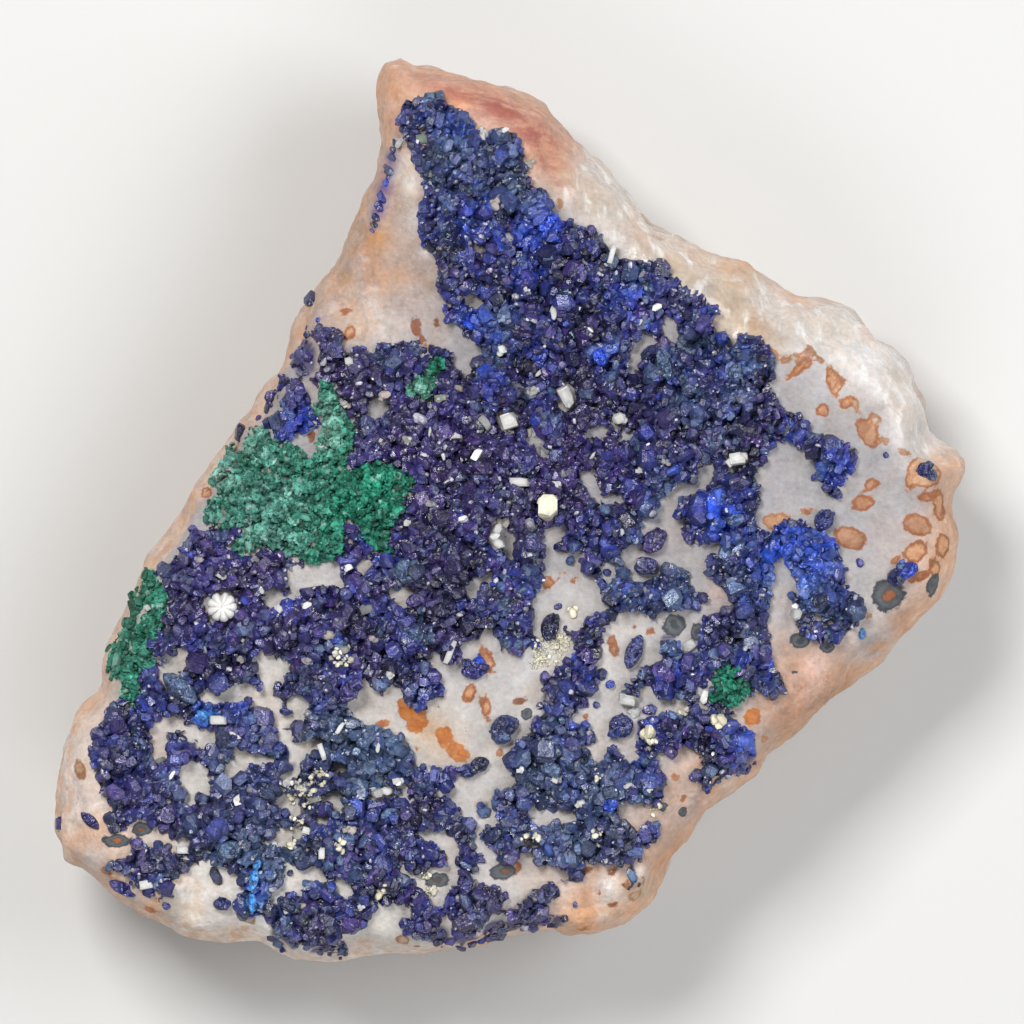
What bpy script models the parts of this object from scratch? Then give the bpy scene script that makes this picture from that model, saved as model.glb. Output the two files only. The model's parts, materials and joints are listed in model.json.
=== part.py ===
"""Azurite specimen: a slab of pale rock with azurite crystals grown over its upper face.

The slab lies on its back, crystal face up (+Z), with the origin in the middle of its underside.
Lengths are in metres.  The pieces are the rock itself (matrix), the azurite crust and the
azurite clusters that stand apart from it, the malachite crusts, and the calcite crystals.
"""
import math
import random

import bmesh
import bpy
from mathutils import Vector, noise
from mathutils.bvhtree import BVHTree
from mathutils.geometry import delaunay_2d_cdt

# --- driving dimensions -------------------------------------------------------------------
LONGEST_SIDE = 0.080            # slab, from its lower left corner to its right-hand nub
FACE_HEIGHT = 0.0175            # mean height of the crystal face above the underside
FACE_SWELL = 0.0007             # how far the face rises and falls across the slab
EDGE_TOP = 0.0120               # top of the upright part of the slab's side
EDGE_BOTTOM = 0.0060            # bottom of the upright part of the slab's side
EDGE_ROUNDING = 0.0024          # width of the rounded border of the face
UNDERSIDE_ROUNDING = 0.0085     # width over which the underside rises to the side
UNDERSIDE_HOLLOWS = 0.0009      # depth of the shallow hollows in the underside
ROCK_VOXEL = 0.0011             # size of the rock's cells before it is thinned out
ROCK_TRIANGLES = 1950           # triangles left in the rock before its chips are cut

GAP = 0.0003                    # clearance between the rock and what stands on it
AZURITE_EDGE = 0.0008           # thickness of the azurite crust at its edge
AZURITE_DEEP = 0.0013           # what the crust gains away from its edge
AZURITE_RAMP = 0.0020           # distance over which it gains that
AZURITE_PITCH = 0.00198         # spacing of the azurite crystals
AZURITE_RIDGE = 0.0011          # length of a crystal's top ridge
MALACHITE_EDGE = 0.0007
MALACHITE_DEEP = 0.0009
MALACHITE_PITCH = 0.00150       # spacing of the malachite's rounded lumps
ISLAND_HEIGHTS = (0.0007, 0.0006, 0.0, 1.0)     # clusters that stand alone: edge, gain to the top
CALCITE_TALL_HEIGHTS = (0.0019, 0.0005, 0.0, 1.0)
CALCITE_SHORT_HEIGHTS = (0.0009, 0.0004, 0.0, 1.0)
CRUST_ROOT = 0.0020             # how far crust blocks reach into the rock before they are cut
RIM_CLEARANCE = 0.0005          # crusts stay this far inside the slab's outline
RIM_SAFETY = 0.0002             # and have at least this much rock beside them
OUTLINE_TOLERANCE = 0.00014     # outline points nearer than this to a straight run are dropped

# The outlines are drawn on a grid, x to the right and y down, seen from above the face.
GRID_CENTRE = (513.0, 511.0)
GRID_LONGEST_SIDE = 990.0       # the slab's longest side, in grid units
GRID_STEP = LONGEST_SIDE / GRID_LONGEST_SIDE

COLOURS = {
    "matrix": ((0.62, 0.56, 0.50, 1.0), 0.78),
    "azurite": ((0.022, 0.028, 0.210, 1.0), 0.34),
    "malachite": ((0.035, 0.270, 0.150, 1.0), 0.62),
    "calcite": ((0.86, 0.84, 0.78, 1.0), 0.40),
}

# --- outlines, on the grid ----------------------------------------------------------------
SLAB_OUTLINE = [
    # top point and upper right rim
    (380, 58), (398, 57), (430, 67), (470, 76), (500, 83), (530, 95), (545, 104), (549, 112),
    (565, 132), (590, 158), (611, 180), (620, 193), (636, 212), (646, 225), (665, 233), (700, 253),
    (708, 256), (735, 259), (757, 264), (770, 279), (779, 292), (800, 299), (818, 299), (850, 315),
    (868, 330), (893, 350), (907, 367), (914, 375), (920, 398), (927, 425), (926, 440), (930, 451),
    # right-hand nub and lower right side
    (938, 453), (960, 452), (965, 457), (971, 470), (967, 478), (952, 493), (951, 500), (954, 520),
    (960, 548), (957, 566), (950, 585), (937, 601), (921, 617), (905, 631), (894, 646), (880, 665),
    (867, 670), (851, 681), (841, 694), (828, 706), (816, 716), (801, 724), (795, 735), (787, 743),
    (768, 748), (763, 754), (758, 770), (750, 785), (736, 794), (709, 802), (699, 816), (691, 834),
    (683, 848), (671, 856), (667, 863), (664, 879), (656, 895), (643, 910), (628, 922), (605, 930),
    # lower edge
    (583, 938), (572, 934), (548, 932), (519, 934), (499, 938), (486, 947), (470, 953), (457, 949),
    (441, 949), (428, 955), (409, 958), (393, 952), (374, 955), (355, 960), (342, 966), (317, 960),
    (295, 960), (282, 953), (269, 944), (250, 941), (215, 944), (173, 931), (151, 922), (135, 912),
    (114, 899), (98, 882), (89, 870), (63, 866),
    # left side
    (57, 847), (55, 828), (57, 783), (62, 757), (71, 718), (82, 705), (97, 693), (101, 680),
    (103, 652), (110, 636), (122, 617), (132, 592), (148, 557), (170, 536), (183, 512), (187, 498),
    (205, 475), (228, 436), (262, 393), (276, 372), (285, 352), (294, 325), (313, 290), (332, 266),
    (350, 240), (352, 228), (361, 203), (373, 180), (384, 165), (385, 150), (381, 115), (377, 75),
]

# Slope of the quartz rim: places along the slab's outline and the slope's width there.
RIM_SLOPES = [
    ((470, 76), 0.0028), ((545, 104), 0.0030), ((590, 158), 0.0038), ((636, 212), 0.0030),
    ((665, 233), 0.0022), ((735, 259), 0.0036), ((779, 292), 0.0044), ((850, 315), 0.0058),
    ((907, 367), 0.0050), ((926, 430), 0.0030),
]
RIM_REACH = 0.0045              # distance along the outline over which a slope width fades

# The azurite crust, clockwise from the top of its upper tongue.
AZURITE_UPPER_RIGHT = [
    (400, 117), (404, 104), (418, 96), (437, 97), (455, 105), (466, 113), (475, 125), (479, 141),
    (488, 141), (495, 129), (510, 135), (520, 145), (523, 158), (530, 185), (545, 191), (549, 203),
    (560, 221), (573, 226), (590, 228), (600, 235), (608, 245), (612, 262), (626, 258), (645, 259),
    (660, 262), (672, 272), (683, 284), (700, 295), (713, 303), (720, 316), (727, 332), (735, 340),
    (746, 336), (765, 343), (775, 354), (774, 378), (765, 388), (778, 402), (784, 411), (796, 415),
    (813, 433), (826, 437), (843, 447), (857, 454), (856, 465), (845, 475), (838, 498), (828, 497),
    (822, 482), (812, 477), (821, 467), (808, 454), (800, 445), (788, 440), (774, 442), (767, 449),
    (762, 465), (755, 471), (757, 482), (760, 500), (757, 513), (752, 520), (761, 530), (771, 535),
]
AZURITE_RIGHT_LOBE = [
    (781, 524), (800, 520), (816, 528), (829, 536), (838, 547), (841, 565), (846, 581), (854, 592),
    (862, 602), (857, 613), (852, 621), (853, 630), (843, 636), (826, 641), (812, 640), (806, 633),
    (815, 624), (823, 617), (813, 611), (806, 603), (806, 593), (797, 586), (790, 571), (788, 558),
    (779, 556), (773, 566), (770, 585), (767, 605), (766, 625), (768, 638), (773, 643), (769, 655),
    (769, 666), (779, 672), (785, 684), (782, 692), (770, 695), (756, 691), (740, 690), (716, 688),
]
AZURITE_LOWER_RIGHT = [
    (697, 684), (697, 700), (703, 706), (712, 711), (725, 713), (734, 718), (740, 727), (750, 730),
    (757, 739), (759, 752), (757, 766), (752, 778), (745, 786), (737, 784), (730, 779), (722, 780),
    (715, 788), (705, 791), (697, 788), (690, 779), (690, 773), (706, 768), (712, 763), (700, 757),
    (692, 750), (684, 747), (674, 752), (664, 752), (658, 757), (657, 765), (663, 772), (664, 785),
    (664, 800), (655, 807), (640, 806), (626, 806), (618, 811), (619, 819), (628, 822), (634, 832),
    (641, 830), (647, 821), (656, 821), (660, 828), (660, 838), (652, 846), (637, 858), (641, 866),
    (643, 876), (637, 886), (628, 890), (621, 884), (627, 872), (622, 864), (617, 868), (605, 867),
    (597, 868), (588, 863), (582, 864), (584, 874), (581, 882), (570, 883), (561, 876), (552, 870),
    (541, 866), (534, 858), (531, 851), (522, 853), (514, 860), (505, 864), (497, 862), (505, 848),
    (496, 849), (487, 845), (481, 838), (482, 829), (489, 825), (497, 829), (500, 822), (496, 812),
    (493, 800), (497, 790), (505, 785), (511, 778), (512, 766), (507, 758), (513, 751), (519, 744),
]
AZURITE_CENTRE_BAYS = [
    (522, 734), (531, 722), (544, 713), (555, 707), (549, 698), (544, 687), (543, 676), (555, 677),
    (556, 666), (562, 662), (572, 660), (576, 651), (573, 641), (563, 633), (563, 628), (573, 628),
    (584, 634), (583, 622), (588, 612), (595, 609), (603, 613), (612, 609), (605, 600), (602, 590),
    (600, 582), (592, 580), (587, 570), (585, 560), (588, 550), (580, 550), (572, 547), (566, 554),
    (558, 553), (557, 545), (563, 536), (570, 529), (572, 522), (560, 526), (540, 529), (543, 536),
    (545, 550), (543, 562), (540, 572), (541, 590), (533, 600), (530, 614), (529, 624), (536, 634),
    (540, 645), (533, 651), (526, 648), (522, 655), (512, 656), (503, 650), (497, 641), (492, 632),
    (484, 629), (480, 638), (462, 640), (461, 650), (457, 660), (450, 665), (443, 661), (436, 653),
    (428, 650), (424, 656), (433, 669), (440, 680), (444, 690), (442, 699), (435, 703), (428, 709),
    (419, 712), (412, 706), (404, 698), (399, 689), (395, 684), (389, 684), (386, 693), (380, 696),
    (374, 690), (366, 684), (358, 689), (352, 698), (345, 702), (346, 710), (352, 714), (358, 722),
    (372, 727), (382, 730), (392, 735), (400, 740), (407, 745), (411, 753), (418, 767), (426, 767),
    (432, 772), (450, 769), (455, 775), (452, 784), (444, 789), (433, 790), (430, 797), (438, 796),
    (447, 798), (454, 806), (459, 815), (466, 822), (473, 824), (475, 833), (473, 843), (476, 853),
    (486, 859), (485, 866), (475, 868), (472, 872), (473, 881), (470, 889), (465, 890), (461, 883),
    (463, 873), (457, 866), (454, 860), (458, 853), (456, 843), (449, 833), (440, 829), (432, 832),
    (424, 828), (417, 830), (424, 838), (432, 843), (440, 848), (445, 856), (441, 863), (433, 868),
    (415, 872), (408, 869), (402, 863), (398, 868), (402, 875), (411, 879), (416, 888), (424, 892),
    (433, 895), (438, 902), (441, 909), (446, 903), (447, 893), (452, 888), (458, 890), (463, 897),
    (471, 896), (476, 889), (481, 886), (498, 886), (506, 889), (509, 896), (505, 904), (509, 911),
    (516, 909), (523, 905), (528, 895), (536, 889), (545, 881), (553, 882), (559, 889), (560, 899),
    (554, 904), (547, 903), (545, 909), (550, 915), (559, 917), (566, 915), (569, 923), (570, 931),
]
AZURITE_LOWER_EDGE = [
    (548, 930), (520, 932), (500, 936), (486, 945), (470, 951), (457, 947), (441, 947), (420, 941),
    (410, 933), (405, 923), (409, 913), (400, 905), (391, 904), (384, 902), (377, 905), (371, 914),
    (370, 925), (364, 930), (356, 928), (349, 922), (346, 928), (347, 938), (345, 948), (347, 957),
    (342, 963), (330, 962), (320, 959), (314, 954), (317, 945), (312, 942), (308, 948), (300, 946),
    (295, 950), (292, 957), (284, 952), (274, 944), (269, 936), (272, 928), (268, 920), (260, 915),
    (250, 917), (241, 914), (235, 910), (238, 903), (244, 896), (247, 887), (243, 879), (232, 872),
    (222, 866), (213, 861), (204, 860), (197, 866), (189, 870), (182, 868), (178, 873), (177, 886),
    (174, 898), (166, 904), (158, 901), (157, 892), (151, 885), (143, 879), (135, 874), (126, 874),
    (115, 872), (109, 866), (113, 858), (122, 857), (130, 859), (131, 850), (137, 845), (152, 848),
    (160, 845), (168, 848), (176, 853), (178, 846), (174, 842), (168, 836), (167, 828), (160, 822),
]
AZURITE_LEFT_SIDE = [
    (152, 824), (149, 817), (140, 819), (130, 822), (122, 832), (112, 835), (107, 829), (109, 818),
    (112, 808), (111, 796), (104, 793), (98, 787), (97, 774), (101, 766), (94, 763), (88, 757),
    (90, 750), (97, 745), (99, 739), (93, 733), (95, 726), (102, 721), (104, 712), (112, 706),
    (118, 701), (128, 690), (128, 655), (142, 600), (147, 575), (151, 561), (161, 550), (172, 537),
    (180, 526), (185, 518), (191, 518), (193, 527), (200, 532), (210, 528), (222, 512), (255, 500),
    (290, 480), (262, 438), (262, 427), (275, 419), (270, 409), (267, 398), (272, 386), (280, 373),
    (287, 360), (294, 346), (303, 336), (318, 328), (333, 327), (345, 335), (348, 345), (358, 345),
    (366, 351), (371, 357), (376, 350), (379, 342), (395, 343), (408, 340), (417, 340), (423, 350),
    (433, 355), (442, 352), (448, 357), (452, 368), (458, 376), (466, 378), (472, 370), (478, 362),
    (481, 352), (474, 345), (463, 341), (462, 328), (449, 321), (441, 307), (455, 306), (450, 296),
    (438, 286), (440, 275), (437, 258), (426, 250), (420, 240), (418, 206), (425, 195), (424, 180),
    (417, 168), (412, 155), (407, 140), (400, 130),
]
AZURITE_OUTLINE = (
    AZURITE_UPPER_RIGHT + AZURITE_RIGHT_LOBE + AZURITE_LOWER_RIGHT
    + AZURITE_CENTRE_BAYS + AZURITE_LOWER_EDGE + AZURITE_LEFT_SIDE
)

# Bare rock showing through the azurite crust.
BARE_RIGHT_CENTRE = [
    (703, 457), (709, 459), (713, 468), (712, 480), (707, 489), (699, 493), (692, 494), (683, 497),
    (677, 505), (676, 515), (686, 519), (684, 530), (686, 541), (692, 546), (702, 544), (712, 541),
    (722, 539), (724, 546), (720, 554), (712, 558), (708, 566), (710, 575), (716, 583), (724, 593),
    (731, 599), (739, 597), (743, 602), (735, 606), (725, 613), (712, 614), (703, 618), (701, 628),
    (700, 640), (697, 646), (697, 656), (690, 661), (684, 658), (681, 642), (668, 638), (657, 638),
    (664, 650), (664, 660), (655, 662), (648, 668), (640, 669), (632, 676), (633, 683), (645, 683),
    (654, 688), (662, 696), (675, 692), (685, 700), (692, 704), (690, 712), (684, 718), (672, 714),
    (660, 718), (642, 722), (639, 735), (641, 750), (640, 762), (632, 764), (622, 764), (622, 757),
    (617, 748), (609, 748), (604, 755), (605, 764), (600, 764), (592, 757), (586, 748), (588, 743),
    (597, 745), (595, 737), (586, 727), (575, 721), (562, 717), (575, 714), (588, 712), (590, 705),
    (583, 695), (585, 691), (595, 690), (597, 684), (603, 679), (603, 672), (597, 665), (600, 655),
    (602, 640), (602, 626), (612, 623), (619, 618), (622, 609), (630, 612), (642, 612), (648, 617),
    (655, 620), (660, 612), (677, 607), (684, 602), (694, 606), (703, 603), (704, 597), (700, 590),
    (692, 588), (693, 578), (689, 570), (677, 567), (665, 569), (657, 577), (650, 580), (640, 582),
    (628, 582), (628, 572), (620, 566), (620, 558), (622, 550), (630, 546), (640, 541), (640, 529),
    (643, 518), (655, 513), (656, 503), (665, 497), (672, 489), (680, 482), (690, 482), (701, 478),
    (700, 462),
]
BARE_LEFT_NETWORK = [
    (197, 688), (205, 692), (215, 694), (232, 692), (245, 687), (258, 692), (262, 682), (258, 672),
    (253, 662), (247, 657), (252, 654), (262, 650), (268, 652), (275, 660), (287, 664), (283, 672),
    (276, 678), (272, 686), (273, 698), (280, 703), (283, 714), (295, 712), (297, 700), (305, 703),
    (310, 712), (303, 717), (290, 719), (281, 724), (284, 735), (291, 741), (305, 743), (318, 740),
    (318, 748), (312, 755), (303, 760), (300, 768), (298, 776), (292, 782), (290, 790), (283, 796),
    (277, 790), (280, 775), (287, 765), (288, 752), (285, 745), (278, 740), (275, 728), (271, 714),
    (265, 707), (258, 704), (250, 703), (243, 697), (235, 698), (225, 703), (212, 703), (203, 698),
]
BARE_LOWER_LEFT = [
    (286, 868), (296, 867), (312, 867), (320, 872), (328, 879), (342, 881), (356, 879), (351, 887),
    (344, 900), (339, 891), (330, 884), (314, 881), (304, 884), (303, 890), (308, 898), (306, 908),
    (299, 918), (294, 914), (300, 905), (303, 899), (292, 892), (281, 893), (272, 900), (265, 904),
    (261, 897), (270, 894), (280, 888), (284, 878),
]
BARE_BELOW_MALACHITE = [
    (292, 572), (305, 566), (318, 563), (330, 561), (340, 559), (343, 563), (340, 575), (343, 585),
    (347, 592), (340, 590), (330, 586), (312, 586), (303, 590), (298, 598), (290, 602), (278, 604),
    (268, 601), (266, 594), (275, 592), (284, 596), (290, 590), (288, 580),
]
BARE_SPOTS = [
    # upper half
    [(417, 130), (425, 127), (431, 133), (429, 144), (421, 146), (416, 139)],
    [(472, 243), (482, 241), (488, 248), (486, 257), (477, 259), (471, 251)],
    [(463, 296), (475, 296), (482, 302), (488, 309), (480, 311), (470, 305)],
    [(633, 342), (638, 333), (650, 336), (661, 337), (659, 347), (650, 347), (640, 353), (634, 362),
     (638, 371), (644, 380), (640, 380), (633, 372), (628, 362), (633, 352)],
    [(660, 318), (670, 320), (684, 322), (674, 327), (672, 335), (678, 341), (671, 342), (664, 329)],
    [(583, 438), (590, 431), (600, 425), (610, 422), (613, 408), (618, 400), (627, 403), (630, 415),
     (634, 425), (632, 435), (622, 440), (612, 435), (600, 437)],
    [(577, 472), (585, 476), (594, 475), (598, 487), (605, 494), (618, 494), (625, 497), (620, 502),
     (608, 501), (597, 499), (590, 492), (586, 483)],
    [(528, 425), (535, 427), (536, 438), (545, 442), (549, 455), (545, 460), (538, 450), (532, 445)],
    [(505, 478), (515, 480), (524, 476), (528, 483), (522, 488), (512, 484)],
    [(286, 440), (295, 434), (308, 431), (318, 428), (322, 440), (318, 455), (312, 466), (293, 445)],
    [(305, 380), (311, 384), (317, 396), (318, 402), (312, 402), (306, 395), (303, 386)],
    [(362, 417), (366, 406), (374, 399), (386, 398), (388, 403), (381, 408), (384, 420), (370, 414)],
    [(411, 398), (420, 400), (428, 398), (428, 410), (420, 408)],
    # middle
    [(358, 583), (357, 572), (362, 563), (372, 553), (375, 557), (369, 565), (373, 575), (368, 583)],
    [(386, 583), (398, 587), (407, 590), (412, 600), (418, 609), (408, 606), (400, 609), (393, 602)],
    [(468, 598), (470, 590), (474, 578), (478, 574), (488, 576), (492, 582), (480, 590), (476, 598)],
    [(605, 561), (612, 565), (617, 576), (612, 584), (602, 582), (600, 573)],
    [(172, 658), (178, 650), (188, 646), (196, 655), (195, 662), (188, 664), (190, 673), (175, 672),
     (168, 678), (163, 690), (159, 680), (157, 662), (163, 660)],
    # lower half
    [(157, 720), (170, 720), (185, 725), (200, 729), (212, 731), (217, 737), (216, 745), (210, 748),
     (203, 745), (192, 737), (185, 733), (178, 731), (165, 732), (163, 738), (165, 747), (168, 765),
     (163, 765), (157, 760), (152, 755), (154, 740)],
    [(185, 768), (192, 766), (202, 765), (205, 768), (203, 775), (205, 785), (212, 793), (215, 799),
     (200, 794), (195, 796), (195, 806), (190, 808), (185, 803), (180, 790), (178, 782), (183, 775)],
    [(222, 778), (228, 770), (236, 762), (240, 752), (248, 752), (255, 757), (266, 757), (262, 763),
     (252, 762), (245, 770), (238, 775)],
    [(262, 840), (268, 833), (277, 828), (287, 828), (292, 832), (292, 845), (285, 851), (265, 846)],
    [(533, 813), (540, 806), (548, 805), (556, 812), (570, 809), (577, 812), (575, 818), (567, 824),
     (552, 825), (543, 829), (536, 826), (531, 820)],
    [(362, 793), (368, 787), (375, 783), (378, 778), (386, 775), (392, 776), (398, 784), (408, 788),
     (411, 795), (406, 802), (398, 797), (388, 802), (380, 804), (372, 800)],
]
AZURITE_WINDOWS = [
    BARE_RIGHT_CENTRE, BARE_LEFT_NETWORK, BARE_LOWER_LEFT, BARE_BELOW_MALACHITE, *BARE_SPOTS,
]

# Azurite clusters that stand apart from the crust.
AZURITE_ISLANDS = {
    "azurite_right_side": [
        (814, 519), (820, 512), (828, 510), (834, 514), (831, 523), (824, 530), (817, 526)],
    "azurite_nub": [
        (917, 467), (922, 462), (930, 461), (938, 470), (937, 478), (929, 482), (919, 480)],
    "azurite_right_border": [
        (890, 570), (898, 565), (912, 562), (919, 566), (917, 575), (907, 582), (896, 586), (889, 580)],
    "azurite_bay_upper": [
        (641, 545), (645, 534), (655, 529), (667, 532), (664, 545), (656, 553), (646, 553)],
    "azurite_bay_lower": [
        (635, 558), (641, 558), (648, 562), (655, 562), (657, 568), (652, 574), (645, 574), (640, 568)],
    "azurite_centre_slim": [
        (628, 640), (635, 636), (643, 637), (643, 650), (636, 660), (630, 669), (624, 665), (624, 652)],
    "azurite_centre_ring": [
        (608, 722), (613, 714), (622, 713), (632, 718), (634, 728), (625, 738), (614, 734)],
    "azurite_centre_bright": [
        (461, 664), (468, 658), (476, 655), (484, 657), (488, 667), (486, 677), (478, 680), (470, 677)],
    "azurite_centre_plate": [
        (489, 728), (492, 720), (500, 716), (512, 717), (520, 722), (514, 735), (508, 744), (497, 735)],
    "azurite_centre_low": [
        (459, 765), (468, 757), (477, 762), (486, 763), (489, 769), (483, 776), (470, 780), (462, 778)],
    "azurite_bay_streaked": [
        (542, 618), (548, 614), (557, 618), (558, 630), (552, 640), (545, 638), (542, 631)],
    "azurite_left_border": [
        (80, 812), (86, 812), (95, 820), (101, 826), (98, 830), (88, 824)],
    "azurite_lower_small": [
        (215, 899), (224, 898), (231, 903), (227, 910), (218, 911), (214, 905)],
    "azurite_lower_left": [
        (107, 885), (112, 880), (119, 884), (124, 891), (134, 893), (138, 899), (126, 898), (114, 893)],
}

MALACHITE_OUTLINES = {
    "malachite_main": [
        (232, 440), (250, 424), (265, 426), (270, 440), (285, 442), (300, 450), (312, 462), (316, 455),
        (318, 440), (322, 428), (322, 415), (313, 407), (320, 400), (318, 390), (322, 383), (330, 382),
        (335, 392), (335, 405), (345, 412), (352, 425), (352, 440), (348, 455), (345, 470), (360, 466),
        (385, 463), (408, 472), (415, 480), (412, 490), (405, 495), (405, 505), (402, 515), (388, 533),
        (390, 545), (396, 553), (385, 555), (375, 550), (362, 535), (360, 525), (346, 515), (342, 540),
        (342, 555), (330, 560), (318, 565), (300, 558), (285, 553), (262, 545), (252, 552), (240, 553),
        (230, 548), (245, 533), (250, 525), (228, 528), (215, 525), (207, 520), (205, 512), (208, 500),
        (222, 497), (218, 490), (205, 480), (210, 470), (217, 460)],
    "malachite_edge": [
        (145, 570), (151, 570), (157, 580), (170, 593), (168, 605), (160, 628), (148, 640), (155, 660),
        (150, 668), (140, 672), (135, 680), (138, 700), (132, 710), (122, 695), (120, 682), (108, 668),
        (108, 658), (116, 643), (132, 632), (127, 615), (135, 598), (142, 580)],
    "malachite_top": [
        (405, 385), (412, 378), (425, 372), (430, 362), (437, 357), (443, 359), (440, 378), (430, 395),
        (420, 398), (410, 395)],
    "malachite_tuft": [
        (712, 690), (708, 700), (715, 705), (730, 706), (745, 700), (750, 690), (745, 680), (735, 672),
        (728, 664), (718, 668), (714, 678)],
}

# Calcite: the round rosette, and blocky crystals as (middle, length, width, turn in degrees).
ROSETTE_MIDDLE = (222, 607)
ROSETTE_RADIUS = 0.00130
ROSETTE_LOBES = 9
ROSETTE_NOTCH = 0.16            # depth of the notches between lobes, as a share of the radius
CALCITE_IN_CRUST = {
    "calcite_square": ((509, 421), 0.00120, 0.00110, 15),
    "calcite_upper": ((566, 397), 0.00155, 0.00100, -60),
    "calcite_middle": ((497, 536), 0.00190, 0.00095, 80),
    "calcite_right": ((737, 459), 0.00145, 0.00110, 10),
}
CALCITE_ON_ROCK = {
    "calcite_window": ((619, 418), 0.00110, 0.00095, 30),
    "calcite_bay": ((796, 614), 0.00125, 0.00110, -70),
    "calcite_centre_lower": ((628, 700), 0.00105, 0.00090, 40),
    "calcite_lower_patch": ((381, 793), 0.00170, 0.00100, 10),
    "calcite_lower_left": ((146, 885), 0.00105, 0.00060, 15),
}


# --- plane geometry -----------------------------------------------------------------------
def on_slab(point):
    """A grid point as a place on the slab, in metres."""
    return Vector(((point[0] - GRID_CENTRE[0]) * GRID_STEP, (GRID_CENTRE[1] - point[1]) * GRID_STEP))


def nearest_on_outline(point, outline):
    """The nearest place on a closed outline, and how far away it is."""
    best = (1.0, None)
    for start, end in zip(outline, outline[1:] + outline[:1]):
        run = end - start
        share = max(0.0, min(1.0, (point - start).dot(run) / max(run.length_squared, 1e-18)))
        place = start + run * share
        best = min(best, ((point - place).length, place), key=lambda item: item[0])
    return best[1], best[0]


def is_inside(point, outline):
    """Whether a point lies inside a closed outline."""
    inside = False
    for a, b in zip(outline, outline[1:] + outline[:1]):
        if (a.y > point.y) != (b.y > point.y):
            if point.x < (b.x - a.x) * (point.y - a.y) / (b.y - a.y) + a.x:
                inside = not inside
    return inside


def thin_run(points, tolerance):
    """Drop the points of an open run that a straight line nearly passes through."""
    start, end = points[0], points[-1]
    if len(points) < 3:
        return points
    run = end - start
    side = Vector((-run.y, run.x)).normalized()
    offsets = [abs((p - start).dot(side)) for p in points[1:-1]]
    widest = max(range(len(offsets)), key=offsets.__getitem__) + 1
    if offsets[widest - 1] < tolerance:
        return [start, end]
    return thin_run(points[:widest + 1], tolerance)[:-1] + thin_run(points[widest:], tolerance)


def thin_outline(outline, tolerance=OUTLINE_TOLERANCE):
    """Drop the points that a closed outline doesn't need."""
    half = max(range(len(outline)), key=lambda i: (outline[i] - outline[0]).length)
    first = thin_run(outline[:half + 1], tolerance)
    second = thin_run(outline[half:] + outline[:1], tolerance)
    return first[:-1] + second[:-1]


def signed_area(outline):
    return 0.5 * sum(a.x * b.y - b.x * a.y for a, b in zip(outline, outline[1:] + outline[:1]))


def grown(outline, distance):
    """An outline moved outwards by a distance, corner by corner."""
    turn = 1.0 if signed_area(outline) > 0.0 else -1.0
    moved = []
    for before, here, after in zip(outline[-1:] + outline[:-1], outline, outline[1:] + outline[:1]):
        run_in = (here - before).normalized()
        run_out = (after - here).normalized()
        out_in = Vector((run_in.y, -run_in.x)) * turn
        out_out = Vector((run_out.y, -run_out.x)) * turn
        corner = (out_in + out_out).normalized()
        moved.append(here + corner * distance / max(corner.dot(out_in), 0.5))
    return moved


def drawn(points):
    """A grid outline in metres."""
    return [on_slab(point) for point in points]


SLAB = drawn(SLAB_OUTLINE)


# --- objects ------------------------------------------------------------------------------
def clear_scene():
    for old in list(bpy.data.objects):
        bpy.data.objects.remove(old, do_unlink=True)


def new_collection(name):
    collection = bpy.data.collections.new(name)
    bpy.context.scene.collection.children.link(collection)
    return collection


def new_material(name):
    colour, roughness = COLOURS[name]
    material = bpy.data.materials.new(name)
    material.use_nodes = True
    shader = material.node_tree.nodes["Principled BSDF"]
    shader.inputs["Base Color"].default_value = colour
    shader.inputs["Roughness"].default_value = roughness
    shader.inputs["Metallic"].default_value = 0.0
    material.diffuse_color = colour
    return material


def new_object(name, bm, collection, material=None):
    mesh = bpy.data.meshes.new(name)
    bm.to_mesh(mesh)
    bm.free()
    obj = bpy.data.objects.new(name, mesh)
    if material:
        mesh.materials.append(material)
    collection.objects.link(obj)
    return obj


def apply_modifiers(obj):
    """Replace an object's mesh by what its modifiers make of it."""
    shown = obj.evaluated_get(bpy.context.evaluated_depsgraph_get())
    mesh = bpy.data.meshes.new_from_object(shown)
    old = obj.data
    obj.modifiers.clear()
    obj.data = mesh
    bpy.data.meshes.remove(old)


def keep_largest_part(bm):
    """Delete all but the largest connected part of a mesh."""
    left = set(bm.verts)
    parts = []
    while left:
        part = {left.pop()}
        edge = list(part)
        while edge:
            vert = edge.pop()
            for link in vert.link_edges:
                other = link.other_vert(vert)
                if other in left:
                    left.discard(other)
                    part.add(other)
                    edge.append(other)
        parts.append(part)
    parts.sort(key=len)
    bmesh.ops.delete(bm, geom=[v for part in parts[:-1] for v in part], context="VERTS")


# --- the rock -----------------------------------------------------------------------------
def superellipse(share, power):
    """Rises from 0 to 1 as share goes from 0 to 1, steeply first; power 1 is a straight line."""
    share = max(0.0, min(1.0, share))
    return (1.0 - (1.0 - share) ** power) ** (1.0 / power)


def rim_slope(place):
    """Width of the border's slope at a place on the slab's outline."""
    width = EDGE_ROUNDING
    for point, slope in RIM_SLOPES:
        fade = math.exp(-((place - on_slab(point)).length / RIM_REACH) ** 2)
        width = max(width, EDGE_ROUNDING + (slope - EDGE_ROUNDING) * fade)
    return width


def rock_noise(x, y, z, size):
    """Smooth noise, about -1 to 1, whose bumps are about size wide."""
    return noise.noise(Vector((x, y, z)) / size, noise_basis="PERLIN_ORIGINAL")


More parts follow.
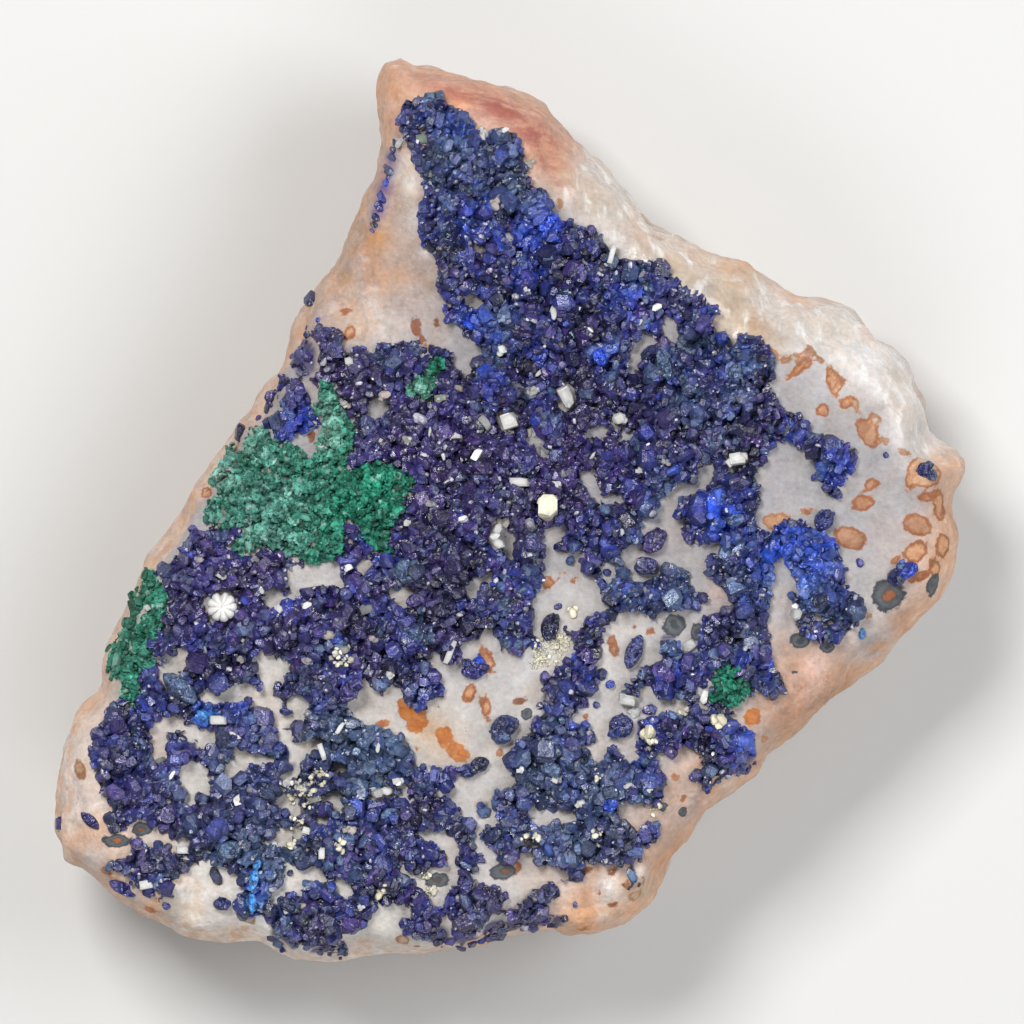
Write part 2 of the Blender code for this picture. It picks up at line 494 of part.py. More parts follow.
def rock_heights(point):
    """Heights of the rock's face and underside over a place in its outline."""
    place, distance = nearest_on_outline(point, SLAB)
    slope = rim_slope(place)
    power = 2.0 - 0.6 * min(1.0, (slope - EDGE_ROUNDING) / EDGE_ROUNDING)
    side_wave = 0.0012 * rock_noise(place.x, place.y, 0.0, 0.014)
    face = FACE_HEIGHT + FACE_SWELL * rock_noise(point.x, point.y, 0.03, 0.020)
    side_top = EDGE_TOP + side_wave
    side_bottom = EDGE_BOTTOM + side_wave
    top = side_top + (face - side_top) * superellipse(distance / slope, power)
    hollow = UNDERSIDE_HOLLOWS * (rock_noise(point.x, point.y, 0.07, 0.016) - 0.15)
    bottom = side_bottom + (hollow - side_bottom) * superellipse(distance / UNDERSIDE_ROUNDING, 1.7)
    return top, bottom


def grid_points(outline, spacing, clearance):
    """Points on a square grid inside an outline and clear of it."""
    xs = [p.x for p in outline]
    ys = [p.y for p in outline]
    points = []
    for row in range(int((max(ys) - min(ys)) / spacing) + 1):
        for column in range(int((max(xs) - min(xs)) / spacing) + 1):
            point = Vector((min(xs) + (column + 0.5) * spacing, min(ys) + (row + 0.5) * spacing))
            if is_inside(point, outline) and nearest_on_outline(point, outline)[1] > clearance:
                points.append(point)
    return points


def border_points(outline):
    """Points just inside an outline, which carry the rounding of the slab's border."""
    points = []
    for inset in (0.0005, 0.0014):
        for point in grown(outline, -inset):
            if is_inside(point, outline) and nearest_on_outline(point, outline)[1] > 0.8 * inset:
                points.append(point)
    return points


def rough_block():
    """The slab with a rounded border, before its surface is roughened."""
    outline = SLAB
    inner = border_points(outline) + grid_points(outline, 0.0017, 0.0018)
    count = len(outline)
    edges = [(i, (i + 1) % count) for i in range(count)]
    points, _, faces, _, _, _ = delaunay_2d_cdt(outline + inner, edges, [], 1, 1e-7)
    bm = bmesh.new()
    heights = [rock_heights(point) for point in points]
    verts = [bm.verts.new((p.x, p.y, low)) for p, (_, low) in zip(points, heights)]
    bottom = [bm.faces.new([verts[i] for i in face]) for face in faces]
    raised = bmesh.ops.extrude_face_region(bm, geom=bottom)
    for vert in [item for item in raised["geom"] if isinstance(item, bmesh.types.BMVert)]:
        vert.co.z = rock_heights(vert.co.xy)[0]
    bmesh.ops.recalc_face_normals(bm, faces=bm.faces)
    return bm


def roughen(mesh):
    """Move the rock's surface in and out along its normals, more on its sides than on its face."""
    bm = bmesh.new()
    bm.from_mesh(mesh)
    bm.normal_update()
    moves = []
    for vert in bm.verts:
        x, y, z = vert.co
        on_face = max(0.0, vert.normal.z) ** 4
        lumps = abs(rock_noise(x, y, z, 0.0052)) + 0.4 * abs(rock_noise(x, y, z, 0.0021))
        ripples = rock_noise(x, y, z, 0.0035)
        depth = 0.0013 * (1.0 - on_face) * (0.35 - lumps) + 0.00022 * on_face * ripples
        moves.append(vert.normal * depth)
    for vert, move in zip(bm.verts, moves):
        vert.co += move
    bm.to_mesh(mesh)
    bm.free()


def cut_flat(bm, point, outward):
    """Cut away what lies beyond a plane and close the cut with a flat face."""
    geometry = bm.verts[:] + bm.edges[:] + bm.faces[:]
    bmesh.ops.bisect_plane(bm, geom=geometry, plane_co=point, plane_no=outward, clear_outer=True)
    open_edges = [edge for edge in bm.edges if edge.is_boundary]
    bmesh.ops.holes_fill(bm, edges=open_edges, sides=0)


# Flat breaks on the lower part of the slab's side: (bearing, lean below level, depth), degrees.
CHIPS = [
    (15, 38, 0.0016), (52, 44, 0.0022), (95, 36, 0.0018), (128, 47, 0.0020), (158, 42, 0.0016),
    (196, 40, 0.0019), (228, 48, 0.0022), (262, 37, 0.0017), (301, 45, 0.0021), (338, 41, 0.0018),
]


def chip_sides(bm):
    for bearing, lean, depth in CHIPS:
        turn = math.radians(bearing)
        drop = math.radians(lean)
        outward = Vector((math.cos(turn) * math.cos(drop), math.sin(turn) * math.cos(drop),
                          -math.sin(drop)))
        farthest = max(vert.co.dot(outward) for vert in bm.verts)
        cut_flat(bm, outward * (farthest - depth), outward)


def build_matrix(parts, material):
    """The slab of rock, with its rounded border, broken sides and flat places to rest on."""
    matrix = new_object("matrix", rough_block(), parts, material)
    remesh = matrix.modifiers.new("Even cells", "REMESH")
    remesh.mode = "VOXEL"
    remesh.voxel_size = ROCK_VOXEL
    apply_modifiers(matrix)
    roughen(matrix.data)
    triangles = sum(len(face.vertices) - 2 for face in matrix.data.polygons)
    thin = matrix.modifiers.new("Thin out", "DECIMATE")
    thin.ratio = ROCK_TRIANGLES / triangles
    apply_modifiers(matrix)
    bm = bmesh.new()
    bm.from_mesh(matrix.data)
    chip_sides(bm)
    cut_flat(bm, Vector((0.0, 0.0, 0.0)), Vector((0.0, 0.0, -1.0)))
    bmesh.ops.triangulate(bm, faces=bm.faces)
    bmesh.ops.remove_doubles(bm, verts=bm.verts, dist=0.00002)
    bmesh.ops.dissolve_degenerate(bm, dist=0.00001, edges=bm.edges)
    keep_largest_part(bm)
    bmesh.ops.triangulate(bm, faces=bm.faces)
    bmesh.ops.recalc_face_normals(bm, faces=bm.faces)
    bm.to_mesh(matrix.data)
    bm.free()
    if not matrix.data.materials:
        matrix.data.materials.append(material)
    return matrix


class Rock:
    """The finished rock: how high its face is, and the cutter that fits crusts to it."""

    def __init__(self, matrix, cutters):
        bm = bmesh.new()
        bm.from_mesh(matrix.data)
        bm.normal_update()
        self.tree = BVHTree.FromBMesh(bm)
        for vert, reach in [(v, v.normal * v.calc_shell_factor() * GAP) for v in bm.verts]:
            vert.co += reach
        self.cutter = new_object("matrix_swollen", bm, cutters)
        self.cutter.display_type = "WIRE"
        self.cutter.hide_render = True

    def hit(self, point):
        """Where a line dropped onto a point meets the rock; None beside it."""
        above = Vector((point.x, point.y, 2.0 * FACE_HEIGHT))
        return self.tree.ray_cast(above, Vector((0.0, 0.0, -1.0)))[0]

    def height(self, point):
        hit = self.hit(point)
        if hit is None:
            raise ValueError(f"no rock under {point}")
        return hit.z

    def kept_on(self, outline):
        """An outline whose points are pulled in to stay clear of the rock's edge."""
        pulled = []
        for point in outline:
            place, distance = nearest_on_outline(point, SLAB)
            away = (point - place) if is_inside(point, SLAB) else (place - point)
            inward = away.normalized() if away.length > 1e-9 else -place.normalized()
            if not is_inside(point, SLAB) or distance < RIM_CLEARANCE:
                point = place + inward * RIM_CLEARANCE
            while self.hit(point - inward * RIM_SAFETY) is None:
                point = point + inward * RIM_SAFETY
            pulled.append(point)
        return pulled


# --- crusts and crystals ------------------------------------------------------------------
def scattered(outlines, spacing, clearance, rng):
    """Random points in a region, at least spacing apart and clear of its outlines."""
    outer = outlines[0]
    xs = [p.x for p in outer]
    ys = [p.y for p in outer]
    area = (max(xs) - min(xs)) * (max(ys) - min(ys))
    cells = {}
    chosen = []
    for _ in range(int(9.0 * area / spacing ** 2) + 60):
        point = Vector((rng.uniform(min(xs), max(xs)), rng.uniform(min(ys), max(ys))))
        cell = (int(point.x // spacing), int(point.y // spacing))
        near = [q for i in (-1, 0, 1) for j in (-1, 0, 1)
                for q in cells.get((cell[0] + i, cell[1] + j), [])]
        if any((point - q).length < spacing for q in near):
            continue
        if in_region(point, outlines) and distance_to(point, outlines) > clearance:
            cells.setdefault(cell, []).append(point)
            chosen.append(point)
    return chosen


def in_region(point, outlines):
    """Inside the first outline and in none of the others."""
    return is_inside(point, outlines[0]) and not any(is_inside(point, o) for o in outlines[1:])


def distance_to(point, outlines):
    return min(nearest_on_outline(point, outline)[1] for outline in outlines)


def middle_of(outline):
    return sum(outline, Vector((0.0, 0.0))) / len(outline)


def ridge_ends(tips, length, rng):
    """The two ends of each crystal's top ridge, turned at random; one point for a length of 0."""
    if not length:
        return list(tips), []
    ends = []
    for tip in tips:
        turn = rng.uniform(0.0, math.pi)
        reach = Vector((math.cos(turn), math.sin(turn))) * length * rng.uniform(0.35, 0.55)
        ends += [tip - reach, tip + reach]
    return ends, [(i, i + 1) for i in range(0, len(ends), 2)]


def feet_between(tips, outlines, clearance, reach):
    """The low points between neighbouring tips."""
    if len(tips) < 3:
        return []
    points, _, faces, _, _, _ = delaunay_2d_cdt(tips, [], [], 0, 1e-7)
    feet = []
    for face in faces:
        corners = [points[i] for i in face]
        foot = middle_of(corners)
        if max((corner - foot).length for corner in corners) < reach:
            if in_region(foot, outlines) and distance_to(foot, outlines) > clearance:
                feet.append(foot)
    return feet


def drop_pinches(faces):
    """Drop faces until no two parts of the region meet at a single point."""
    faces = set(faces)
    changed = True
    while changed:
        changed = False
        around = {}
        for face in faces:
            for index in face:
                around.setdefault(index, []).append(face)
        for index, ring in around.items():
            fans = []
            for face in ring:
                sides = {frozenset((index, other)) for other in face if other != index}
                joined = [fan for fan in fans if fan[1] & sides]
                merged = ([face] + [f for fan in joined for f in fan[0]],
                          sides.union(*[fan[1] for fan in joined]))
                fans = [fan for fan in fans if fan not in joined] + [merged]
            if len(fans) > 1:
                fans.sort(key=lambda fan: len(fan[0]))
                faces.difference_update(face for fan in fans[:-1] for face in fan[0])
                changed = True
                break
    return faces


def connected_groups(faces):
    """Split faces into groups joined across their sides, largest first."""
    by_side = {}
    for face in faces:
        for a, b in zip(face, face[1:] + face[:1]):
            by_side.setdefault(frozenset((a, b)), []).append(face)
    left = set(faces)
    groups = []
    while left:
        group = [left.pop()]
        for face in group:
            for a, b in zip(face, face[1:] + face[:1]):
                for other in by_side[frozenset((a, b))]:
                    if other in left:
                        left.discard(other)
                        group.append(other)
        groups.append(group)
    return sorted(groups, key=len, reverse=True)


def crust_blocks(outlines, tips, ridge, heights, rock, rng):
    """Blocks whose tops are crystals or lumps: high at the tips, low between them and at the edge.

    heights is (at the edge, gained away from it, distance of the gain, low points' share).
    One bmesh is returned for each connected part of the region, largest first.
    """
    edge, deep, ramp, low_share = heights
    ends, ridges = ridge_ends(tips, ridge, rng)
    feet = feet_between(tips, outlines, 0.00035, 0.0022)
    given = []
    sides = []
    for outline in outlines:
        first = len(given)
        count = len(outline)
        sides += [(first + i, first + (i + 1) % count) for i in range(count)]
        given += outline
    borders = len(given)
    sides += [(borders + a, borders + b) for a, b in ridges]
    given += ends + feet
    points, _, faces, sources, _, _ = delaunay_2d_cdt(given, sides, [], 0, 1e-7)
    kept = []
    for face in faces:
        if in_region(middle_of([points[i] for i in face]), outlines):
            kept.append(tuple(face))
    rises = []
    for point, source in zip(points, sources):
        kind = min(source) if source else 0
        if kind < borders:
            rises.append(edge * rng.uniform(0.85, 1.15))
            continue
        gain = min(1.0, distance_to(point, outlines) / ramp) if ramp else 1.0
        full = edge + deep * gain
        is_tip = kind < borders + len(ends)
        rises.append(full * (rng.uniform(0.82, 1.18) if is_tip else low_share * rng.uniform(0.8, 1.2)))
    blocks = []
    for group in connected_groups(drop_pinches(kept)):
        blocks.append(raised_block(group, points, rises, rock))
    return blocks


def raised_block(faces, points, rises, rock):
    """A block over the given faces, from inside the rock up to its own height at each point."""
    bm = bmesh.new()
    tag = bm.verts.layers.int.new("point")
    ground = {}
    verts = {}
    for index in sorted({index for face in faces for index in face}):
        ground[index] = rock.height(points[index])
        x, y = points[index]
        verts[index] = bm.verts.new((x, y, ground[index] - CRUST_ROOT))
        verts[index][tag] = index
    base = [bm.faces.new([verts[i] for i in face]) for face in faces]
    raised = bmesh.ops.extrude_face_region(bm, geom=base)
    for vert in [item for item in raised["geom"] if isinstance(item, bmesh.types.BMVert)]:
        vert.co.z = ground[vert[tag]] + rises[vert[tag]]
    bmesh.ops.recalc_face_normals(bm, faces=bm.faces)
    return bm


def fit_to_rock(name, block, parts, material, rock):
    """Cut a block's underside to the rock, leaving the clearance."""
    obj = new_object(name, block, parts, material)
    cut = obj.modifiers.new("Fit to the rock", "BOOLEAN")
    cut.operation = "DIFFERENCE"
    cut.solver = "EXACT"
    cut.object = rock.cutter
    apply_modifiers(obj)
    bm = bmesh.new()
    bm.from_mesh(obj.data)
    bmesh.ops.remove_doubles(bm, verts=bm.verts, dist=0.00001)
    bmesh.ops.dissolve_degenerate(bm, dist=0.000005, edges=bm.edges)
    keep_largest_part(bm)
    bmesh.ops.triangulate(bm, faces=bm.faces)
    bm.to_mesh(obj.data)
    bm.free()
    return obj


def oblong(middle, length, width, turn):
    """A rectangle's corners."""
    angle = math.radians(turn)
    along = Vector((math.cos(angle), math.sin(angle))) * length / 2.0
    across = Vector((-math.sin(angle), math.cos(angle))) * width / 2.0
    return [middle - along - across, middle + along - across, middle + along + across,
            middle - along + across]


def rosette_outline():
    """A scalloped circle."""
    middle = on_slab(ROSETTE_MIDDLE)
    outline = []
    for step in range(2 * ROSETTE_LOBES):
        angle = math.pi * step / ROSETTE_LOBES
        radius = ROSETTE_RADIUS * (1.0 - ROSETTE_NOTCH * (step % 2))
        outline.append(middle + Vector((math.cos(angle), math.sin(angle))) * radius)
    return outline


def fitted(outlines, rock):
    """Grid outlines in metres, kept on the rock and without needless points."""
    return {name: thin_outline(rock.kept_on(drawn(points))) for name, points in outlines.items()}


def oblongs(crystals):
    return {name: oblong(on_slab(middle), length, width, turn)
            for name, (middle, length, width, turn) in crystals.items()}


def build_crust(parts, material, rock, neighbours):
    """The azurite crust, with windows for bare rock and for the pieces that stand in it."""
    rng = random.Random(11)
    outlines = [thin_outline(rock.kept_on(drawn(AZURITE_OUTLINE)))]
    outlines += [thin_outline(drawn(window)) for window in AZURITE_WINDOWS]
    outlines += [grown(outline, GAP) for outline in neighbours]
    tips = scattered(outlines, AZURITE_PITCH, 0.45 * AZURITE_PITCH, rng)
    heights = (AZURITE_EDGE, AZURITE_DEEP, AZURITE_RAMP, 0.42)
    blocks = crust_blocks(outlines, tips, AZURITE_RIDGE, heights, rock, rng)
    fit_to_rock("azurite_crust", blocks[0], parts, material, rock)


def build_malachite(parts, material, rock, outlines):
    """Crusts of small rounded lumps."""
    rng = random.Random(5)
    heights = (MALACHITE_EDGE, MALACHITE_DEEP, 0.0016, 0.55)
    for name, outline in outlines.items():
        tips = scattered([outline], MALACHITE_PITCH, 0.4 * MALACHITE_PITCH, rng)
        block = crust_blocks([outline], tips, 0.0, heights, rock, rng)[0]
        fit_to_rock(name, block, parts, material, rock)


def build_crystals(parts, material, rock, outlines, ridge, heights):
    """Single crystals and small clusters: steep sides and one point or ridge on top."""
    rng = random.Random(3)
    for name, outline in outlines.items():
        block = crust_blocks([outline], [middle_of(outline)], ridge, heights, rock, rng)[0]
        fit_to_rock(name, block, parts, material, rock)


def main():
    clear_scene()
    parts = new_collection("azurite_specimen")
    cutters = new_collection("cutters")
    matrix = build_matrix(parts, new_material("matrix"))
    rock = Rock(matrix, cutters)
    azurite = new_material("azurite")
    calcite = new_material("calcite")
    islands = fitted(AZURITE_ISLANDS, rock)
    malachite = fitted(MALACHITE_OUTLINES, rock)
    tall = {"calcite_rosette": rosette_outline()} | oblongs(CALCITE_IN_CRUST)
    short = oblongs(CALCITE_ON_ROCK)
    neighbours = [o for group in (islands, malachite, tall, short) for o in group.values()]
    build_crust(parts, azurite, rock, neighbours)
    build_crystals(parts, azurite, rock, islands, 0.0008, ISLAND_HEIGHTS)
    build_malachite(parts, new_material("malachite"), rock, malachite)
    build_crystals(parts, calcite, rock, tall, 0.0, CALCITE_TALL_HEIGHTS)
    build_crystals(parts, calcite, rock, short, 0.0, CALCITE_SHORT_HEIGHTS)


main()
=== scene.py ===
"""Dresses the solids of an azurite specimen: rock, azurite, malachite, calcite and its stage.

Laid out as a Blender add-on.  Lengths are in metres, +Z up, the crystal face upwards.  Places on
the face are written as grid points, x to the right and y down, 990 steps along its longest side.
"""

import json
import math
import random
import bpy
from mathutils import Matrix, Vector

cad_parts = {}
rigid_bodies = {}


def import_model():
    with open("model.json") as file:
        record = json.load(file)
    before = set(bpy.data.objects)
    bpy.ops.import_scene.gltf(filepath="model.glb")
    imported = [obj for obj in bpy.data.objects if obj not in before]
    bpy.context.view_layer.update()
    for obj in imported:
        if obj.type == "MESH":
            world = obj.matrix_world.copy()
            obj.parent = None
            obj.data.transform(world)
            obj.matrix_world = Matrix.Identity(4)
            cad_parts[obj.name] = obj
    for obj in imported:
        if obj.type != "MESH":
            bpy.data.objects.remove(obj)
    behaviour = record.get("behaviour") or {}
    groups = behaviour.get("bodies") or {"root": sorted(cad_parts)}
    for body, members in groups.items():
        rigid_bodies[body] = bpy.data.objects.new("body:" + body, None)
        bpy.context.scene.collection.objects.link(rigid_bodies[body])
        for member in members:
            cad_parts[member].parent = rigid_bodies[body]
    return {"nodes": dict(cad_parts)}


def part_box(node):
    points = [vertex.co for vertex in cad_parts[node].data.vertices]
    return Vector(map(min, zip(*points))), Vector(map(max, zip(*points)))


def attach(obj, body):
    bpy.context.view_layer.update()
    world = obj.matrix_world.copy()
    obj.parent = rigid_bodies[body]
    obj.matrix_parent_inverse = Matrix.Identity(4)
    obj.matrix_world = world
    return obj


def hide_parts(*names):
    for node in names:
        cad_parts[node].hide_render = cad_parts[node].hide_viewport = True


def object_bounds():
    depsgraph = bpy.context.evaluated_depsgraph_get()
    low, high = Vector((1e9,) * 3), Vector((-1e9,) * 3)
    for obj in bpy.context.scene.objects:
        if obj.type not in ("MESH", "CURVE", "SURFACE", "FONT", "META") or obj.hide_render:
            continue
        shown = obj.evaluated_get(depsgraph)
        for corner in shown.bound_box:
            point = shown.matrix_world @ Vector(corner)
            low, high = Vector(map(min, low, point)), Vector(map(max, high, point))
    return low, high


bl_info = {
    "name": "Azurite specimen",
    "version": (1, 0, 0),
    "blender": (4, 5, 0),
    "location": "3D View > Sidebar > Azurite",
    "description": "Builds the finish of an azurite specimen around its solids",
    "category": "Add Mesh",
}

import bmesh
import bpy
import numpy as np
from bpy.props import FloatProperty, FloatVectorProperty, IntProperty, PointerProperty
from mathutils import Euler, Matrix, Vector, noise
from mathutils.bvhtree import BVHTree

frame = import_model()
CAD_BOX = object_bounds()
CAD_LOW, CAD_HIGH = Vector(CAD_BOX[0]), Vector(CAD_BOX[1])
NODES = frame["nodes"]

# --- places on the face -------------------------------------------------------------------
GRID_CENTRE = (513.0, 511.0)
GRID_STEP = 0.080 / 990.0
FACE_HEIGHT = 0.0175
VIEW_HEIGHT = 0.0185             # height at which the camera's frame is one grid step a pixel
IMAGE_CENTRE = (512.0, 512.0)
IMAGE_SIDE = 1024.0

CLUSTERS = sorted(n for n in NODES if n.startswith("azurite_") and n != "azurite_crust")
MALACHITES = sorted(n for n in NODES if n.startswith("malachite_"))
CALCITES = sorted(n for n in NODES if n.startswith("calcite_"))

# Soft tints of the rock: (tint, x, y, radius, strength).
ROCK_TINTS = [
    ("cream", 430, 700, 60, 0.2), ("cream", 215, 890, 90, 0.9), ("cream", 300, 640, 120, 0.5),
    ("cream", 230, 730, 90, 0.6), ("cream", 380, 930, 80, 0.7), ("cream", 610, 640, 60, 0.4),
    ("fawn", 385, 262, 66, 0.95), ("fawn", 350, 310, 40, 0.8), ("fawn", 398, 190, 40, 0.8),
    ("cream", 414, 170, 14, 0.6), ("cream", 416, 222, 16, 0.4), ("cream", 365, 318, 24, 0.35),
    ("amber", 380, 237, 12, 1.0), ("amber", 345, 280, 9, 0.7), ("amber", 398, 274, 8, 0.6),
    ("amber", 372, 246, 9, 0.6), ("amber", 352, 306, 8, 0.6), ("amber", 366, 228, 8, 0.5),
    # frost at 270, 925 and at 250, 928 is painted light that lightens the sloping lower border; frost at 906,
    # 382 is a painted highlight on the quartz rim
    ("frost_and_highlight", 380, 340, 30, 0.25), ("frost_and_highlight", 520, 650, 50, 0.25), ("frost_and_highlight", 270, 925, 60, 0.6),
    ("frost_and_highlight", 80, 805, 40, 0.35), ("frost_and_highlight", 860, 345, 46, 0.8), ("frost_and_highlight", 906, 382, 14, 0.8),
    ("blush", 400, 90, 50, 1.0), ("blush", 470, 100, 60, 1.0), ("blush", 530, 140, 50, 1.0),
    ("peach", 85, 740, 60, 0.9), ("peach", 75, 820, 60, 0.9), ("peach", 100, 870, 50, 0.7),
    ("tan", 80, 772, 20, 0.5), ("tan", 105, 872, 16, 0.7), ("tan", 150, 912, 14, 0.8),
    ("peach", 600, 905, 60, 0.5), ("tan", 583, 920, 30, 0.9), ("clay", 660, 850, 50, 0.8),
    ("clay", 700, 790, 40, 0.55), ("white", 612, 896, 20, 0.5), ("tan", 640, 905, 22, 0.4),
    ("tan", 655, 880, 26, 0.3), ("peach", 715, 770, 30, 0.5),
    ("clay", 800, 672, 40, 1.0), ("clay", 840, 690, 34, 0.9), ("clay", 820, 720, 44, 0.9),
    ("rose", 815, 671, 15, 0.8), ("rose", 790, 700, 20, 0.4), ("peach", 870, 650, 40, 0.3),
    ("peach", 930, 560, 40, 0.8), ("tan", 952, 520, 26, 1.0), ("tan", 945, 470, 22, 1.0),
    ("tan", 945, 560, 22, 0.9), ("tan", 925, 610, 22, 0.7), ("peach", 925, 640, 30, 0.8),
    ("peach", 960, 468, 16, 0.9), ("mauve", 800, 480, 80, 0.5), ("mauve", 890, 510, 60, 0.5),
    ("mauve", 660, 560, 70, 0.5), ("mauve", 710, 660, 60, 0.4), ("rose", 718, 595, 12, 0.6),
    ("stone", 620, 215, 40, 0.6), ("stone", 660, 245, 30, 0.5), ("stone", 712, 292, 44, 0.7),
    ("tan", 560, 160, 20, 0.6), ("amber", 752, 322, 12, 0.5), ("amber", 700, 282, 10, 0.3),
    ("tan", 735, 268, 24, 0.8), ("tan", 650, 225, 16, 0.6), ("peach", 690, 250, 26, 0.7),
    ("peach", 640, 215, 20, 0.6), ("tan", 800, 292, 20, 0.7), ("tan", 872, 330, 12, 0.6),
    ("peach", 905, 380, 10, 0.5), ("tan", 760, 335, 12, 0.6), ("peach", 720, 310, 14, 0.6),
    ("frost_and_highlight", 76, 765, 60, 0.45), ("frost_and_highlight", 250, 928, 30, 0.6), ("clay", 780, 745, 40, 0.6),
    ("mauve", 500, 640, 60, 0.4), ("peach", 945, 560, 30, 0.5), ("plum", 391, 158, 7, 1.0),
    ("plum", 384, 188, 8, 1.0), ("plum", 378, 212, 7, 0.9), ("frost_and_highlight", 396, 176, 6, 0.5),
    ("plum", 388, 172, 7, 1.0), ("plum", 381, 202, 6, 0.9), ("plum", 374, 226, 4, 0.6),
    ("frost_and_highlight", 408, 162, 11, 0.7), ("frost_and_highlight", 412, 188, 10, 0.7), ("frost_and_highlight", 420, 216, 9, 0.6),
    ("frost_and_highlight", 426, 250, 8, 0.5), ("frost_and_highlight", 553, 648, 16, 0.6), ("clay", 770, 700, 30, 0.4),
    ("straw", 735, 315, 26, 0.75), ("straw", 775, 346, 16, 0.6), ("straw", 690, 265, 20, 0.5),
    ("straw", 722, 280, 20, 0.5), ("straw", 592, 198, 20, 0.4), ("straw", 835, 322, 26, 0.4),
    ("straw", 898, 378, 14, 0.6), ("straw", 562, 186, 18, 0.6), ("straw", 752, 272, 16, 0.5),
    ("straw", 660, 270, 20, 0.35), ("mauve", 92, 862, 20, 0.5), ("frost_and_highlight", 74, 785, 40, 0.3),
    ("clay", 902, 624, 16, 0.9), ("clay", 845, 692, 20, 0.9), ("mauve", 702, 292, 12, 0.6),
    ("straw", 640, 888, 14, 0.7), ("mauve", 874, 646, 20, 0.6), ("frost_and_highlight", 92, 860, 16, 0.3),
    ("straw", 436, 733, 26, 0.7), ("amber", 430, 728, 12, 0.5), ("amber", 452, 746, 12, 0.4),
    ("clay", 583, 893, 10, 0.7), ("tan", 583, 912, 10, 0.7), ("frost_and_highlight", 612, 890, 13, 0.7),
    ("frost_and_highlight", 603, 912, 9, 0.5), ("amber", 628, 892, 9, 0.5), ("frost_and_highlight", 640, 872, 8, 0.5),
]
# Where the rock is mottled: (x, y, radius).
MOTTLED = [
    (385, 270, 70), (350, 320, 50), (80, 800, 60), (150, 905, 60), (600, 905, 60), (820, 700, 60),
    (450, 110, 90), (700, 790, 50),
]
# Brick-red streaks along the tip: (x, y, length, width, turn, strength).
BRICK_STREAKS = [
    (455, 92, 70, 14, -16, 0.8), (500, 108, 100, 26, -24, 1.0), (532, 132, 70, 30, -40, 1.0),
    (548, 165, 60, 16, -55, 0.8), (430, 78, 50, 10, -10, 0.5),
]
# Iron stains: (x, y, length, width, turn, tone), tone 0 rust-brown to 1 vivid orange.
STAINS = [
    (832, 378, 26, 13, -80, 0.3), (800, 368, 40, 9, 35, 0.3), (822, 410, 16, 14, 0, 0.3),
    (848, 402, 18, 12, 20, 0.3), (868, 432, 34, 20, -60, 0.2), (872, 484, 17, 12, 20, 0.2),
    (863, 503, 24, 17, 10, 0.2), (850, 538, 36, 22, -20, 0.2), (918, 525, 30, 22, -30, 0.2),
    (916, 552, 26, 20, 40, 0.3), (944, 546, 16, 26, 0, 0.3), (940, 505, 14, 34, 8, 0.3),
    (770, 352, 22, 10, -30, 0.4), (795, 358, 26, 6, -10, 0.5), (812, 352, 16, 7, -40, 0.5),
    (838, 388, 9, 26, -20, 0.4), (856, 404, 8, 18, 20, 0.5), (876, 418, 16, 10, -40, 0.5),
    (884, 440, 18, 7, -30, 0.6), (905, 452, 14, 8, -20, 0.6), (927, 497, 20, 9, 10, 0.3),
    (922, 576, 26, 10, 25, 0.3), (935, 568, 12, 24, 10, 0.3), (896, 560, 14, 8, 30, 0.3),
    (777, 521, 30, 17, 10, 0.4), (808, 511, 14, 7, 0, 0.3), (868, 615, 12, 6, 0, 0.6),
    (910, 482, 12, 20, 0, 0.4), (752, 717, 18, 19, 0, 0.8), (765, 740, 9, 9, 0, 0.7),
    (613, 646, 10, 24, 10, 0.2), (650, 632, 9, 7, 0, 0.2), (634, 627, 6, 5, 0, 0.2),
    (548, 583, 14, 14, 0, 0.3), (563, 575, 8, 6, 0, 0.3), (576, 580, 9, 7, 0, 0.3),
    (520, 701, 14, 8, 20, 0.1), (487, 660, 14, 30, 20, 0.3), (469, 694, 14, 20, -20, 0.3),
    (486, 708, 12, 26, 10, 0.3), (500, 753, 8, 9, 0, 0.4), (411, 713, 28, 19, -12, 1.0),
    (417, 724, 22, 17, 30, 1.0), (444, 736, 18, 22, 10, 1.0), (457, 752, 28, 17, -38, 1.0),
    (418, 749, 8, 6, 0, 0.8), (383, 724, 14, 9, 10, 0.8), (403, 704, 12, 12, 0, 1.0), (416, 328, 11, 23, 5, 0.1),
    (349, 333, 12, 18, -20, 0.3), (431, 349, 9, 8, 0, 0.3), (312, 436, 8, 14, 0, 0.1),
    (205, 491, 13, 13, 0, 0.4), (443, 859, 7, 11, 0, 0.1), (247, 920, 18, 13, 0, 0.6),
    (402, 942, 15, 14, 0, 0.5), (417, 950, 9, 7, 0, 0.2), (675, 778, 9, 8, 0, 0.4),
    (683, 799, 8, 6, 0, 0.2), (612, 872, 12, 8, 0, 0.1), (585, 871, 14, 9, 20, 0.1),
    (636, 897, 16, 10, 30, 0.6), (80, 770, 12, 20, 10, 0.5),
    (105, 871, 12, 8, -20, 0.5), (150, 911, 14, 6, -15, 0.8), (583, 931, 16, 7, 0, 0.8),
    (515, 868, 14, 16, 0, 0.3), (700, 300, 8, 5, 0, 0.3), (784, 361, 26, 5, 5, 0.5),
    (818, 358, 22, 6, -35, 0.5), (845, 380, 20, 5, -30, 0.5), (803, 355, 12, 10, 0, 0.4),
    (422, 341, 8, 12, 60, 0.1), (436, 322, 7, 14, 20, 0.1), (345, 312, 14, 8, 10, 0.3),
    (657, 236, 18, 6, -30, 0.4), (560, 205, 8, 16, 20, 0.5), (585, 718, 10, 8, 0, 0.4),
    (925, 472, 36, 32, -20, 0.4), (626, 884, 9, 8, 0, 0.3), (613, 905, 12, 6, 20, 0.3),
    (598, 893, 6, 5, 0, 0.2), (646, 884, 8, 12, 0, 0.5),
]
